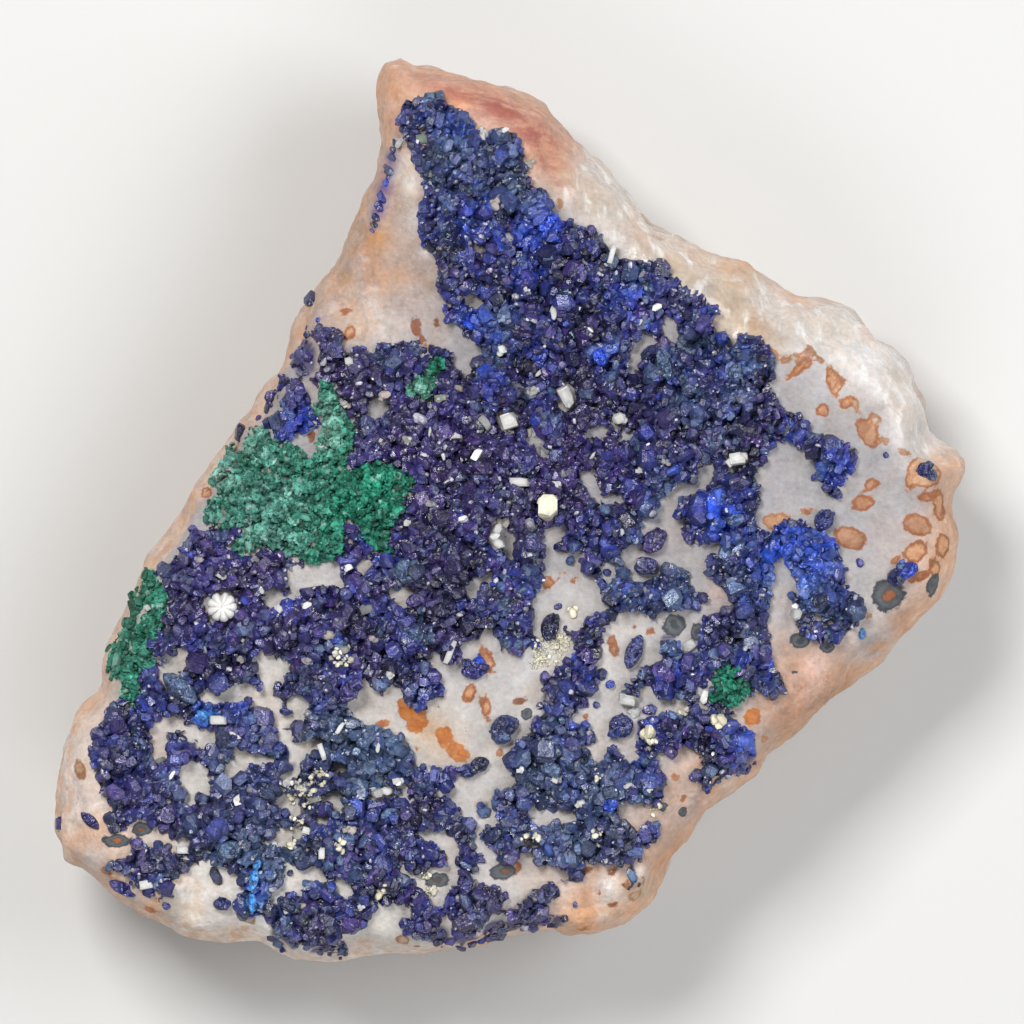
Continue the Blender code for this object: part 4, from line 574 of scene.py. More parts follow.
def paint_tints(places, quartz, rock):
    """The rock's base colour at each point: broad soft tints over the face and its sides."""
    x = places[:, 0] / GRID_STEP + GRID_CENTRE[0]
    y = GRID_CENTRE[1] - places[:, 1] / GRID_STEP
    colours = np.tile(np.array(rock.mauve), (len(places), 1))

    def mix(tint, weight):
        colours[:] = colours * (1.0 - weight[:, None]) + np.array(getattr(rock, tint)) * weight[:, None]

    mix("cream", 0.4 * smooth_step(y, 480.0, 760.0))
    drop = smooth_step(FACE_HEIGHT - places[:, 2], 0.0004, 0.0026)
    mix("peach", 0.75 * drop * (1.0 - 0.9 * quartz))
    mix("white", 0.85 * quartz)
    for tint, centre_x, centre_y, radius, strength in ROCK_TINTS:
        away = ((x - centre_x) ** 2 + (y - centre_y) ** 2) / radius ** 2
        mix(tint, strength * np.exp(-away))
    low = smooth_step(-places[:, 2], -0.0125, -0.0080)
    mix("side", 0.8 * low)
    near = 0.9 * smooth_step(places[:, 2], 0.0140, 0.0156)
    mix("ink", near * smooth_step(1.0 - ellipse_share(places, AZURITE_MORE), 0.0, 0.15))
    mix("moss", near * smooth_step(1.0 - ellipse_share(places, MALACHITE_MORE), 0.0, 0.15))
    return colours


def mottled_area(places, border):
    """How strongly the rock is mottled at each point, 0 to 1."""
    x = places[:, 0] / GRID_STEP + GRID_CENTRE[0]
    y = GRID_CENTRE[1] - places[:, 1] / GRID_STEP
    share = 0.7 * border
    for centre_x, centre_y, radius in MOTTLED:
        away = ((x - centre_x) ** 2 + (y - centre_y) ** 2) / radius ** 2
        share = np.maximum(share, np.exp(-away))
    return share


def brick_area(places):
    """Where the tip is streaked with red, 0 to 1."""
    x = places[:, 0] / GRID_STEP + GRID_CENTRE[0]
    y = GRID_CENTRE[1] - places[:, 1] / GRID_STEP
    share = np.zeros(len(places))
    for centre_x, centre_y, length, width, turn, strength in BRICK_STREAKS:
        along, across = turned(x - centre_x, y - centre_y, turn)
        spread = (2.0 * along / length) ** 2 + (2.0 * across / width) ** 2
        share = np.maximum(share, strength * np.exp(-0.7 * spread))
    return share


def turned(x, y, turn):
    """Grid offsets along and across a direction that is turn degrees from +x, counterclockwise."""
    angle = math.radians(turn)
    along = x * math.cos(angle) - y * math.sin(angle)
    across = x * math.sin(angle) + y * math.cos(angle)
    return along, across


def mark_share(places, x, y, length, width, turn):
    """Distance of each place from a mark's middle, in its radii, over the border as on the face."""
    along, across = turned(places[:, 0] / GRID_STEP + GRID_CENTRE[0] - x,
                           GRID_CENTRE[1] - places[:, 1] / GRID_STEP - y, turn)
    share = (2.0 * along / length) ** 2 + (2.0 * across / width) ** 2
    top = places[share < 1.0, 2].max(initial=0.0)
    below = np.maximum(0.0, top - places[:, 2] - 0.0007)
    return np.sqrt(share + (2.0 * below / (max(length, width) * GRID_STEP)) ** 2)


def stain_distances(places):
    """Signed distance in millimetres to the nearest iron stain's edge, and that stain's tone."""
    nearest = np.full(len(places), 9.0)
    tone = np.zeros(len(places))
    for x, y, length, width, turn, stain_tone in STAINS:
        share = mark_share(places, x, y, length, width, turn)
        distance = (share - 1.0) * 0.5 * min(length, width) * GRID_STEP * 1000.0
        tone = np.where(distance < nearest, stain_tone, tone)
        nearest = np.minimum(nearest, distance)
    return nearest, tone


def spot_shares(places):
    """Distance from the nearest dark spot's middle, in its radii, and that spot's warmth."""
    nearest = np.full(len(places), 9.0)
    warmth = np.zeros(len(places))
    for x, y, width, height, spot_warmth in DARK_SPOTS:
        share = mark_share(places, x, y, width, height, 0)
        warmth = np.where(share < nearest, spot_warmth, warmth)
        nearest = np.minimum(nearest, share)
    return nearest, warmth


def store(mesh, name, kind, values):
    """Write one value for each point of a mesh as a named attribute."""
    layer = mesh.attributes.new(name, kind, "POINT")
    key = {"FLOAT_COLOR": "color", "FLOAT_VECTOR": "vector"}.get(kind, "value")
    layer.data.foreach_set(key, np.ascontiguousarray(values, dtype=np.float32).ravel())


def read_points(mesh):
    values = np.zeros(len(mesh.vertices) * 3, dtype=np.float32)
    mesh.vertices.foreach_get("co", values)
    return values.reshape(-1, 3).astype(float)


def build_rock(rock, material):
    """The whole slab with its fine relief, standing for the plain solid."""
    piece = new_piece("rock", merged_copy("matrix"), material)
    remesh = piece.modifiers.new("Fine cells", "REMESH")
    remesh.mode = "VOXEL"
    remesh.voxel_size = rock.cell
    remesh.use_smooth_shade = True
    ease = piece.modifiers.new("Ease", "SMOOTH")
    ease.factor = 0.5
    ease.iterations = 7
    apply_modifiers(piece)
    bm = bmesh.new()
    bm.from_mesh(piece.data)
    roughen_rock(bm)
    bm.normal_update()
    embed_crystals(bm)
    bm.to_mesh(piece.data)
    bm.free()
    mesh = piece.data
    mesh.shade_smooth()
    places = read_points(mesh)
    stain, tone = stain_distances(places)
    spot, warmth = spot_shares(places)
    quartz = np.array([quartz_share(vert.co) for vert in mesh.vertices])
    quartz *= smooth_step(places[:, 2], 0.006, 0.012)
    tints = paint_tints(places, quartz, rock)
    store(mesh, "tint", "FLOAT_COLOR", np.column_stack([tints, np.ones(len(tints))]))
    border = smooth_step(FACE_HEIGHT - places[:, 2], 0.0006, 0.0022) * (1.0 - 0.85 * quartz)
    for name, values in (("stain", stain), ("stain_tone", tone), ("spot", spot),
                         ("spot_warmth", warmth), ("quartz", quartz), ("border", border),
                         ("mottle", mottled_area(places, border)), ("brick", brick_area(places))):
        store(mesh, name, "FLOAT", values)
    if not mesh.materials:
        mesh.materials.append(material)
    return piece


# --- crystals -----------------------------------------------------------------------------
# Forms cut from a block: (length, width, thickness) and the faces that cut it, each with its
# opposite: (bearing, lean, distance from the middle).
CUT_FORMS = {
    "block": ((1.0, 0.72, 0.62), [(48, 0, 0.42), (-40, 10, 0.42), (10, 45, 0.41), (100, 40, 0.36),
                                  (195, 42, 0.42)]),
    "blade": ((1.0, 0.46, 0.28), [(26, 0, 0.34), (-26, 0, 0.34), (90, 40, 0.18), (-90, 40, 0.18),
                                  (0, 32, 0.41)]),
    "shard": ((1.0, 0.58, 0.34), [(38, 8, 0.33), (-30, -8, 0.36), (80, 52, 0.22), (0, 40, 0.38),
                                  (140, 46, 0.30)]),
    "prism": ((1.0, 0.66, 0.56), [(62, 8, 0.40), (14, 40, 0.42)]),
    "chip": ((1.0, 0.74, 0.60), [(45, 15, 0.40), (-45, 20, 0.40), (95, 45, 0.34)]),
}
# Rounded forms: length, width, thickness and how far up the flat top lies.
ROUND_FORMS = {
    "lens": ((1.0, 0.60, 0.42), 0.62),
    "plate": ((1.0, 0.80, 0.36), 0.66),
    "broad": ((1.0, 1.0, 0.72), 0.55),
}
AZURITE_FORMS = ("blade", "block", "shard", "lens", "plate")
UPPER_MIX = (0.34, 0.30, 0.28, 0.06, 0.02)
LOWER_MIX = (0.20, 0.36, 0.28, 0.10, 0.06)
FORM_COUNT = 5


def direction(bearing, lean):
    bearing, lean = math.radians(bearing), math.radians(lean)
    return Vector((math.cos(bearing) * math.cos(lean), math.sin(bearing) * math.cos(lean),
                   math.sin(lean)))


def slice_off(bm, outward, distance):
    """Cut away what lies beyond a plane and close the cut with a face."""
    everything = bm.verts[:] + bm.edges[:] + bm.faces[:]
    bmesh.ops.bisect_plane(bm, geom=everything, plane_co=outward * distance, plane_no=outward,
                           clear_outer=True)
    rim = [edge for edge in bm.edges if edge.is_boundary]
    if rim:
        bmesh.ops.holes_fill(bm, edges=rim, sides=0)


def cut_crystal(form, rng):
    """One faceted crystal, a unit long, its faces a little off their ideal places."""
    size, faces = CUT_FORMS[form]
    bm = bmesh.new()
    bmesh.ops.create_cube(bm, size=1.0)
    bmesh.ops.scale(bm, vec=size, verts=bm.verts)
    for bearing, lean, distance in faces:
        for turn in (0.0, 180.0):
            outward = direction(bearing + turn + rng.uniform(-7, 7),
                                (lean if turn == 0.0 else -lean) + rng.uniform(-6, 6))
            slice_off(bm, outward, distance * rng.uniform(0.88, 1.10))
    return bm


def round_crystal(form, rng):
    """One crystal with a blunt rounded rim and a nearly flat top, a unit long."""
    size, top = ROUND_FORMS[form]
    bm = bmesh.new()
    broad = form == "broad"
    bmesh.ops.create_uvsphere(bm, u_segments=16 if broad else 9, v_segments=9 if broad else 6,
                              radius=0.5)
    for vert in bm.verts:
        vert.co.y *= 1.05 - 0.9 * vert.co.x * vert.co.x
        vert.co *= rng.uniform(0.94, 1.05)
    bmesh.ops.scale(bm, vec=size, verts=bm.verts)
    for face in bm.faces:
        face.smooth = True
    slice_off(bm, direction(rng.uniform(0.0, 360.0), rng.uniform(76, 90)), 0.5 * top * size[2])
    return bm


def bevelled_block(rng):
    """A stout block with rounded edges, a unit long."""
    bm = bmesh.new()
    bmesh.ops.create_cube(bm, size=1.0)
    bmesh.ops.scale(bm, vec=(1.0, rng.uniform(0.8, 0.95), rng.uniform(0.6, 0.75)), verts=bm.verts)
    slice_off(bm, direction(rng.uniform(20, 70), rng.uniform(0, 30)), 0.48)
    bmesh.ops.bevel(bm, geom=bm.edges, offset=0.07, segments=2, profile=0.5, affect="EDGES",
                    material=-1)
    for vert in bm.verts:
        vert.co *= rng.uniform(0.98, 1.02)
    return bm


def crystal_set(name, forms, count, rng):
    """A hidden collection of crystals to scatter: count of the first form, then of the next."""
    collection = bpy.data.collections.new(name)
    for form in forms:
        for _ in range(count):
            if form == "bevelled":
                bm = bevelled_block(rng)
            elif form in ROUND_FORMS:
                bm = round_crystal(form, rng)
            else:
                bm = cut_crystal(form, rng)
            bmesh.ops.recalc_face_normals(bm, faces=bm.faces)
            mesh = bpy.data.meshes.new(f"{name}_{len(collection.objects):02d}")
            bm.to_mesh(mesh)
            bm.free()
            store(mesh, "own", "FLOAT_VECTOR", read_points(mesh))
            collection.objects.link(bpy.data.objects.new(mesh.name, mesh))
    return collection


def remove_set(collection):
    for item in list(collection.objects):
        mesh = item.data
        bpy.data.objects.remove(item)
        bpy.data.meshes.remove(mesh)
    bpy.data.collections.remove(collection)


def growth_group():
    """Geometry nodes that put a crystal on each point, by its turn, size and kind, as real mesh."""
    if "Grow crystals" in bpy.data.node_groups:
        return bpy.data.node_groups["Grow crystals"]
    group = bpy.data.node_groups.new("Grow crystals", "GeometryNodeTree")
    group.interface.new_socket("Geometry", in_out="INPUT", socket_type="NodeSocketGeometry")
    group.interface.new_socket("Crystals", in_out="INPUT", socket_type="NodeSocketCollection")
    group.interface.new_socket("Material", in_out="INPUT", socket_type="NodeSocketMaterial")
    group.interface.new_socket("Geometry", in_out="OUTPUT", socket_type="NodeSocketGeometry")
    made = group.nodes.new
    inlet, outlet = made("NodeGroupInput"), made("NodeGroupOutput")
    choice = made("GeometryNodeCollectionInfo")
    choice.inputs["Separate Children"].default_value = True
    choice.inputs["Reset Children"].default_value = True
    place = made("GeometryNodeInstanceOnPoints")
    place.inputs["Pick Instance"].default_value = True
    rotation = made("FunctionNodeEulerToRotation")
    named = {}
    for name, kind in (("turn", "FLOAT_VECTOR"), ("size", "FLOAT_VECTOR"), ("kind", "INT")):
        named[name] = made("GeometryNodeInputNamedAttribute")
        named[name].data_type = kind
        named[name].inputs["Name"].default_value = name
    realize = made("GeometryNodeRealizeInstances")
    finish = made("GeometryNodeSetMaterial")
    link = group.links.new
    link(inlet.outputs["Geometry"], place.inputs["Points"])
    link(inlet.outputs["Crystals"], choice.inputs["Collection"])
    link(choice.outputs["Instances"], place.inputs["Instance"])
    link(named["turn"].outputs["Attribute"], rotation.inputs["Euler"])
    link(rotation.outputs["Rotation"], place.inputs["Rotation"])
    link(named["size"].outputs["Attribute"], place.inputs["Scale"])
    link(named["kind"].outputs["Attribute"], place.inputs["Instance Index"])
    link(place.outputs["Instances"], realize.inputs["Geometry"])
    link(realize.outputs["Geometry"], finish.inputs["Geometry"])
    link(inlet.outputs["Material"], finish.inputs["Material"])
    link(finish.outputs["Geometry"], outlet.inputs["Geometry"])
    return group


class Spot:
    """Where one crystal grows: its place, turn, size, kind and colour."""

    def __init__(self, place, turn, size, kind, colour):
        self.place = place
        self.turn = turn
        self.size = size
        self.kind = kind
        self.colour = colour


def grow(name, spots, crystals, material):
    """One joined mesh of crystals, one on each spot."""
    bm = bmesh.new()
    turn = bm.verts.layers.float_vector.new("turn")
    size = bm.verts.layers.float_vector.new("size")
    kind = bm.verts.layers.int.new("kind")
    colour = bm.verts.layers.float_color.new("colour")
    for spot in spots:
        vert = bm.verts.new(spot.place)
        vert[turn] = Vector(spot.turn)
        vert[size] = Vector(spot.size)
        vert[kind] = spot.kind
        vert[colour] = (*spot.colour, 1.0)
    piece = new_piece(name, bm, material)
    group = growth_group()
    growth = piece.modifiers.new("Growth", "NODES")
    growth.node_group = group
    sockets = {item.name: item.identifier for item in group.interface.items_tree
               if item.in_out == "INPUT"}
    growth[sockets["Crystals"]] = crystals
    growth[sockets["Material"]] = material
    apply_modifiers(piece)
    return piece


def scattered_places(tree, low, high, spacing, rng, tries=7.0):
    """Random places on a surface, seen from above, spacing(x, y) apart: (place, normal) pairs."""
    widest = 0.0026
    cells = {}
    found = []
    area = (high.x - low.x) * (high.y - low.y)
    smallest = min(spacing(rng.uniform(low.x, high.x), rng.uniform(low.y, high.y))
                   for _ in range(200))
    for _ in range(int(tries * area / smallest ** 2)):
        x, y = rng.uniform(low.x, high.x), rng.uniform(low.y, high.y)
        gap = spacing(x, y)
        column, row = int(x // widest), int(y // widest)
        if any((x - p) ** 2 + (y - q) ** 2 < gap * gap
               for i in (-1, 0, 1) for j in (-1, 0, 1) for p, q in cells.get((column + i, row + j), ())):
            continue
        landed = drop_onto(tree, x, y)
        if landed is None or landed[1].z < 0.25:
            continue
        cells.setdefault((column, row), []).append((x, y))
        found.append(landed)
    return found


def fits_within(tree, place, reach, side):
    """True where a crystal's two ends and two sides all lie over the surface."""
    return all(drop_onto(tree, place.x + dx, place.y + dy) for dx, dy in
               ((reach.x, reach.y), (-reach.x, -reach.y), (side.x, side.y), (-side.x, -side.y)))


def settle_turn(tree, place, normal, length, rng, roll, pitch):
    """A crystal's turn and length: the best of a few bearings that stay within the surface."""
    for shrink in (1.0, 0.78, 0.6):
        for _ in range(5):
            bearing = rng.uniform(0.0, 2.0 * math.pi)
            ahead = Vector((math.cos(bearing), math.sin(bearing)))
            if fits_within(tree, place, ahead * 0.27 * length * shrink,
                           Vector((-ahead.y, ahead.x)) * 0.12 * length * shrink):
                break
        else:
            continue
        break
    up = (normal + Vector((0.0, 0.0, 1.0))).normalized()
    stand = up.to_track_quat("Z", "Y").to_matrix()
    spin = Euler((rng.gauss(0.0, roll), rng.gauss(0.0, pitch), 0.0)).to_matrix()
    around = Matrix.Rotation(bearing, 3, "Z")
    return (stand @ around @ spin).to_euler(), length * shrink


# --- azurite ------------------------------------------------------------------------------
def blend(first, second, share):
    return tuple(a + (b - a) * share for a, b in zip(first, second))


LOBES = 430.0                     # rounded masses of crystals to the metre
LOBE_RISE = 0.00042


def lobe_at(place):
    """How near a place is to the middle of its rounded mass, 0 to 1, and that mass's own chance."""
    distances, points = noise.voronoi(Vector((place.x, place.y, 0.0)) * LOBES)
    middle = points[0]
    chance = 0.5 + 0.5 * math.sin(middle.x * 91.7 + middle.y * 47.3)
    return max(0.0, min(1.0, 1.7 * (distances[1] - distances[0]))), chance


def azurite_colour(place, azurite, rng):
    """A crystal's blue: its mass, its patch of the crust, and chance, with painted shade towards the edges of
    its rounded mass.
    """
    x = place.x / GRID_STEP + GRID_CENTRE[0]
    y = GRID_CENTRE[1] - place.y / GRID_STEP
    lobe, mass = lobe_at(place)
    colour = blend(tuple(azurite.deep), tuple(azurite.royal), (0.4 * rng.random() + 0.6 * mass) ** 1.8)
    chance = rng.random()
    if chance < 0.10 + 0.45 * (0.35 < mass < 0.52):
        colour = blend(colour, tuple(azurite.steel), rng.uniform(0.4, 0.9))
    elif chance < 0.26 + 0.35 * (mass < 0.22):
        colour = blend(colour, tuple(azurite.smoke), rng.uniform(0.4, 0.85))
    elif chance < 0.31:
        colour = blend(colour, tuple(azurite.bright), rng.uniform(0.15, 0.5))
    elif chance > 0.80:
        colour = blend(colour, tuple(azurite.violet), rng.uniform(0.4, 0.9))
    for tone, centre_x, centre_y, radius, strength in BLUE_PATCHES:
        away = ((x - centre_x) ** 2 + (y - centre_y) ** 2) / radius ** 2
        share = strength * math.exp(-away) * rng.uniform(0.55, 1.25)
        colour = blend(colour, tuple(getattr(azurite, tone)), min(1.0, share))
    # painted shade: colour darkened towards black away from the middle of each rounded mass, in the crevices
    # between masses
    return blend(colour, (0.0, 0.0, 0.0), 0.42 * (1.0 - lobe) * rng.uniform(0.5, 1.0))


def crystal_face(place, fineness, slope):
    """Height of the crystal face a place lies on, one of many grown together, and its middle."""
    flat = Vector((place.x, place.y, 0.0)) * fineness
    middle = noise.voronoi(flat)[1][0]
    away = (flat - middle) / fineness
    lean = math.sin(12.9898 * middle.x + 78.233 * middle.y)
    tip = math.sin(39.346 * middle.x + 11.135 * middle.y)
    return slope * (away.x * lean + away.y * tip), middle


def craggy_mass(name, nodes, cell, relief, material):
    """Solids as one finely broken mass; relief gives each place its height, its painted shade and its colour."""
    bm = bmesh.new()
    for node in nodes:
        bm.from_mesh(NODES[node].data)
    bmesh.ops.remove_doubles(bm, verts=bm.verts, dist=0.000001)
    piece = new_piece(name, bm, material)
    remesh = piece.modifiers.new("Fine cells", "REMESH")
    remesh.mode = "VOXEL"
    remesh.voxel_size = cell
    apply_modifiers(piece)
    bm = bmesh.new()
    bm.from_mesh(piece.data)
    bm.normal_update()
    moves, own, colours = [], [], []
    for vert in bm.verts:
        height, shade, colour = relief(vert.co)
        up = max(0.0, vert.normal.z)
        moves.append(vert.normal * ((0.25 + 0.75 * up) * height))
        # own z carries the relief's painted shade, which darkens the colour low between lobes and on sinking
        # faces
        own.append((0.0, 0.0, 0.20 * shade - 0.16))
        colours.append((*colour, 1.0))
    for vert, move in zip(bm.verts, moves):
        vert.co += move
    bm.to_mesh(piece.data)
    bm.free()
    piece.data.shade_flat()
    store(piece.data, "own", "FLOAT_VECTOR", own)
    store(piece.data, "colour", "FLOAT_COLOR", colours)
    return piece


def ellipse_share(places, ellipses, ease=0.0):
    """Distance of each place from the nearest ellipse's middle, in that ellipse's radii."""
    x = places[:, 0] / GRID_STEP + GRID_CENTRE[0]
    y = GRID_CENTRE[1] - places[:, 1] / GRID_STEP
    nearest = np.full(len(places), 9.0)
    for centre_x, centre_y, length, width, turn in ellipses:
        along, across = turned(x - centre_x, y - centre_y, turn)
        share = np.sqrt((2.0 * along / (length + ease)) ** 2 + (2.0 * across / (width + ease)) ** 2)
        nearest = np.minimum(nearest, share)
    return nearest


def inside_ellipses(mesh, ellipses, ease=0.0):
    """Which points of a mesh lie within any of some ellipses with uneven edges."""
    uneven = np.array([noise.noise(vert.co * 1400.0) for vert in mesh.vertices])
    return ellipse_share(read_points(mesh), ellipses, ease) + 0.35 * uneven < 1.0


def part_tree(mesh, kept):
    """A ray-casting tree over only the kept points of a mesh."""
    bm = bmesh.new()
    bm.from_mesh(mesh)
    bm.verts.ensure_lookup_table()
    bmesh.ops.delete(bm, geom=[bm.verts[i] for i in np.nonzero(~kept)[0]], context="VERTS")
    tree = BVHTree.FromBMesh(bm)
    bm.free()
    return tree


def open_windows(mesh, rock):
    """Sink the azurite mass below the rock at its windows; gives which points stay."""
    sunk = inside_ellipses(mesh, WINDOWS, WINDOW_EASE)
    for index in np.nonzero(sunk)[0]:
        place = mesh.vertices[index].co
        landed = drop_onto(rock, place.x, place.y)
        if landed:
            place.z = min(place.z, landed[0].z - 0.0008)
    return ~sunk


def azurite_relief(azurite, rng):
    """How the azurite mass rises and is coloured: rounded lobes of small faces grown together, with painted
    shade low between lobes and on faces that sink.
    """
    tones = {}

    def relief(place):
        lobe, _ = lobe_at(place)
        face, middle = crystal_face(place, 950.0, 0.75)
        small, _ = crystal_face(place, 2300.0, 0.8)
        key = (round(middle.x, 2), round(middle.y, 2))
        if key not in tones:
            tones[key] = azurite_colour(place, azurite, rng)
        height = LOBE_RISE * lobe ** 0.6 + face + small
        # shade is painted shade: lower between lobes and where a facet sinks into the mass
        shade = max(0.0, min(1.0, 0.35 + 0.5 * lobe + 1400.0 * (face + small)))
        return height, shade, tones[key]

    return relief


def plate_share(x, y):
    """How far a place is into the lower part of the face, where the crystals are larger."""
    down = GRID_CENTRE[1] - y / GRID_STEP
    return max(0.0, min(1.0, (down - 560.0) / 160.0))


def pick_form(share, rng):
    """The number of a crystal: sharp ones in the upper part, rounded ones in the lower."""
    weights = [a + (b - a) * share for a, b in zip(UPPER_MIX, LOWER_MIX)]
    form = rng.choices(range(len(AZURITE_FORMS)), weights)[0]
    return form * FORM_COUNT + rng.randrange(FORM_COUNT)


def azurite_spots(tree, low, high, azurite, rng, closeness=0.58):
    """The larger crystals of a crust."""
    def length_at(x, y):
        return azurite.small + (azurite.lower - azurite.small) * plate_share(x, y)

    spots = []
    for place, normal in scattered_places(tree, low, high, lambda x, y: closeness * length_at(x, y), rng):
        share = plate_share(place.x, place.y)
        length = length_at(place.x, place.y) * min(1.8, rng.lognormvariate(0.0, 0.32))
        turn, length = settle_turn(tree, place, normal, length, rng, 0.75 - 0.35 * share,
                                   0.45 - 0.23 * share)
        width = length * rng.uniform(0.8, 1.2)
        lift = length * rng.uniform(-0.20, 0.0)
        spots.append(Spot(place + Vector((0.0, 0.0, lift)), turn, (length, width, width),
                          pick_form(share, rng), azurite_colour(place, azurite, rng)))
    return spots


def filler_spots(tree, low, high, azurite, rng, kinds):
    """The small crystals between the larger ones, clear of the crust's edges, darkened a little as painted shade
    in the gaps.
    """
    spots = []
    margin = 0.0005
    for place, normal in scattered_places(tree, low, high, lambda x, y: 1.7 * azurite.filler, rng):
        if not fits_within(tree, place, Vector((margin, 0.0)), Vector((0.0, margin))):
            continue
        length = azurite.filler * rng.lognormvariate(0.0, 0.25)
        turn = Euler((rng.gauss(0.0, 0.8), rng.gauss(0.0, 0.6), rng.uniform(0.0, 6.28)))
        # painted shade: the filler's colour is darkened a little, as shade in the gaps between larger crystals
        spots.append(Spot(place, turn, (length,) * 3,
                          rng.randrange(kinds),
                          blend(azurite_colour(place, azurite, rng), (0.0, 0.0, 0.0), 0.15)))
    return spots


def seam_spots(azurite, rng, kinds):
    """Small crystals in the narrow gaps between the crust and what grows through it."""
    rock = tree_of([bpy.data.objects["rock"].data])
    crust = tree_of([NODES["azurite_crust"].data])
    spots = []
    for name in MALACHITES + CALCITES:
        solid = tree_of([NODES[name].data])
        low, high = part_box(name)
        reach = Vector((0.0007, 0.0007, 0.0))
        for place, _ in scattered_places(rock, low - reach, high + reach, lambda x, y: 0.00032, rng):
            top = place.copy()
            top.z = high.z
            if drop_onto(crust, top.x, top.y) or drop_onto(solid, top.x, top.y):
                continue
            beside, _, _, gap = crust.find_nearest(top, 0.0012)
            _, _, _, other = solid.find_nearest(top, 0.0012)
            if gap is None or other is None or gap + other > 0.0016:
                continue
            height = place.z + 0.75 * max(0.0, beside.z - place.z)
            length = azurite.filler * rng.lognormvariate(0.0, 0.2)
            turn = Euler([rng.uniform(0.0, 6.28) for _ in range(3)])
            spots.append(Spot(Vector((place.x, place.y, height)), turn, (length,) * 3,
                              rng.randrange(kinds), azurite_colour(place, azurite, rng)))
    return spots


def glint_spots(covered, low, high, azurite, rng, kinds):
    """Small pale crystals on the crust, their pale colour partly pale grains and partly painted glints of light
    off crystal faces.
    """
    spots = []
    for place, _ in scattered_places(covered, low, high, lambda x, y: 0.00046, rng, 3.0):
        x = place.x / GRID_STEP + GRID_CENTRE[0]
        y = GRID_CENTRE[1] - place.y / GRID_STEP
        share = 0.16
        for centre_x, centre_y, radius, thick in GLINT_AREAS:
            away = ((x - centre_x) ** 2 + (y - centre_y) ** 2) / radius ** 2
            share = max(share, thick * math.exp(-away))
        if rng.random() > 0.75 * share:
            continue
        length = 0.00025 * rng.lognormvariate(0.0, 0.4)
        # painted glints: the pale colour and its random brightness stand partly for light caught on crystal
        # faces
        shade = rng.uniform(0.45, 1.0)
        colour = blend(tuple(azurite.glint), (0.30, 0.30, 0.36), rng.random())
        turn = Euler((rng.gauss(0.0, 0.9), rng.gauss(0.0, 0.9), rng.uniform(0.0, 6.28)))
        spots.append(Spot(place + Vector((0.0, 0.0, 0.1 * length)), turn,
                          (length * rng.uniform(0.9, 1.5), length, 1.3 * length), rng.randrange(kinds),
                          tuple(shade * c for c in colour)))
    return spots


def build_azurite(azurite, material, broad_material):
    """The crust's crystals in three bands, its filler, and the clusters that stand apart."""
    rng = random.Random(azurite.seed)
    mass = craggy_mass("azurite_mass", ["azurite_crust"], azurite.cell, azurite_relief(azurite, rng),
                       material)
    rock = bpy.data.objects["rock"].data
    crust = part_tree(mass.data, open_windows(mass.data, tree_of([rock])))
    outer = part_tree(rock, inside_ellipses(rock, AZURITE_MORE) & (read_points(rock)[:, 2] > 0.009))
    low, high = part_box("azurite_crust")
    crystals = crystal_set("azurite_forms", AZURITE_FORMS, FORM_COUNT, rng)
    spots = azurite_spots(crust, low, high, azurite, rng)
    spots += azurite_spots(outer, CAD_LOW, CAD_HIGH, azurite, rng, 0.46)
    spots.sort(key=lambda spot: -spot.place.y)
    third = len(spots) // 3 + 1
    pieces = [grow(f"azurite_crystals_{band}", spots[i * third:(i + 1) * third], crystals, material)
              for i, band in enumerate(("upper", "middle", "lower"))]
    large = crystal_set("azurite_broad_forms", ("broad",), 8, rng)
    apart = apart_spots(azurite, rng)
    cluster_piece = grow("azurite_apart", apart, large, broad_material)
    broad = broad_spots(crust, azurite, rng)
    pieces.append(grow("azurite_broad", broad, large, broad_material))
    remove_set(large)
    specks = speck_spots(azurite, rng) + stud_spots(apart + broad, azurite, rng)
    pieces.append(grow("azurite_specks", specks, crystals, material))
    remove_set(crystals)
    chips = crystal_set("azurite_chips", ("chip", "shard"), 4, rng)
    fillers = filler_spots(crust, low, high, azurite, rng, 8)
    fillers += seam_spots(azurite, rng, 8)
    pieces.append(grow("azurite_druse", fillers, chips, material))
    bands = [piece.data for piece in [mass] + pieces[:3]]
    glints = glint_spots(tree_of(bands), low, high, azurite, rng, 8)
    pieces.append(grow("azurite_glints", glints, chips, material))
    remove_set(chips)
    return mass, pieces, cluster_piece


def broad_spot(place, length, width, turn, colour, rng):
    """A large rounded crystal lying almost flat."""
    spin = Euler((rng.gauss(0.0, 0.12), rng.gauss(0.0, 0.08), math.radians(turn)))
    size = (length * GRID_STEP, width * GRID_STEP, 0.00130)
    return Spot(place, spin, size, rng.randrange(8), colour)


def apart_spots(azurite, rng):
    """The crystals that stand for the solids lying apart."""
    spots = []
    for name, x, y, length, width, turn in APART_CRYSTALS:
        low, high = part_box(name)
        flat = on_face(x, y)
        place = Vector((flat.x, flat.y, 0.45 * low.z + 0.55 * high.z))
        colour = azurite_colour(place, azurite, rng)
        spots.append(broad_spot(place, 1.05 * length, 1.08 * width, turn, colour, rng))
    return spots


def broad_spots(crust, azurite, rng):
    """Broad crystals in the crust itself."""
    spots = []
    for x, y, length, width, turn, tone in BROAD_CRYSTALS:
        landed = drop_onto(crust, *on_face(x, y))
        if landed is None:
            continue
        colour = blend(tuple(getattr(azurite, tone)), azurite_colour(landed[0], azurite, rng), 0.25)
        place = landed[0] + Vector((0.0, 0.0, 0.00016))
        spots.append(broad_spot(place, length, width, turn, colour, rng))
    return spots


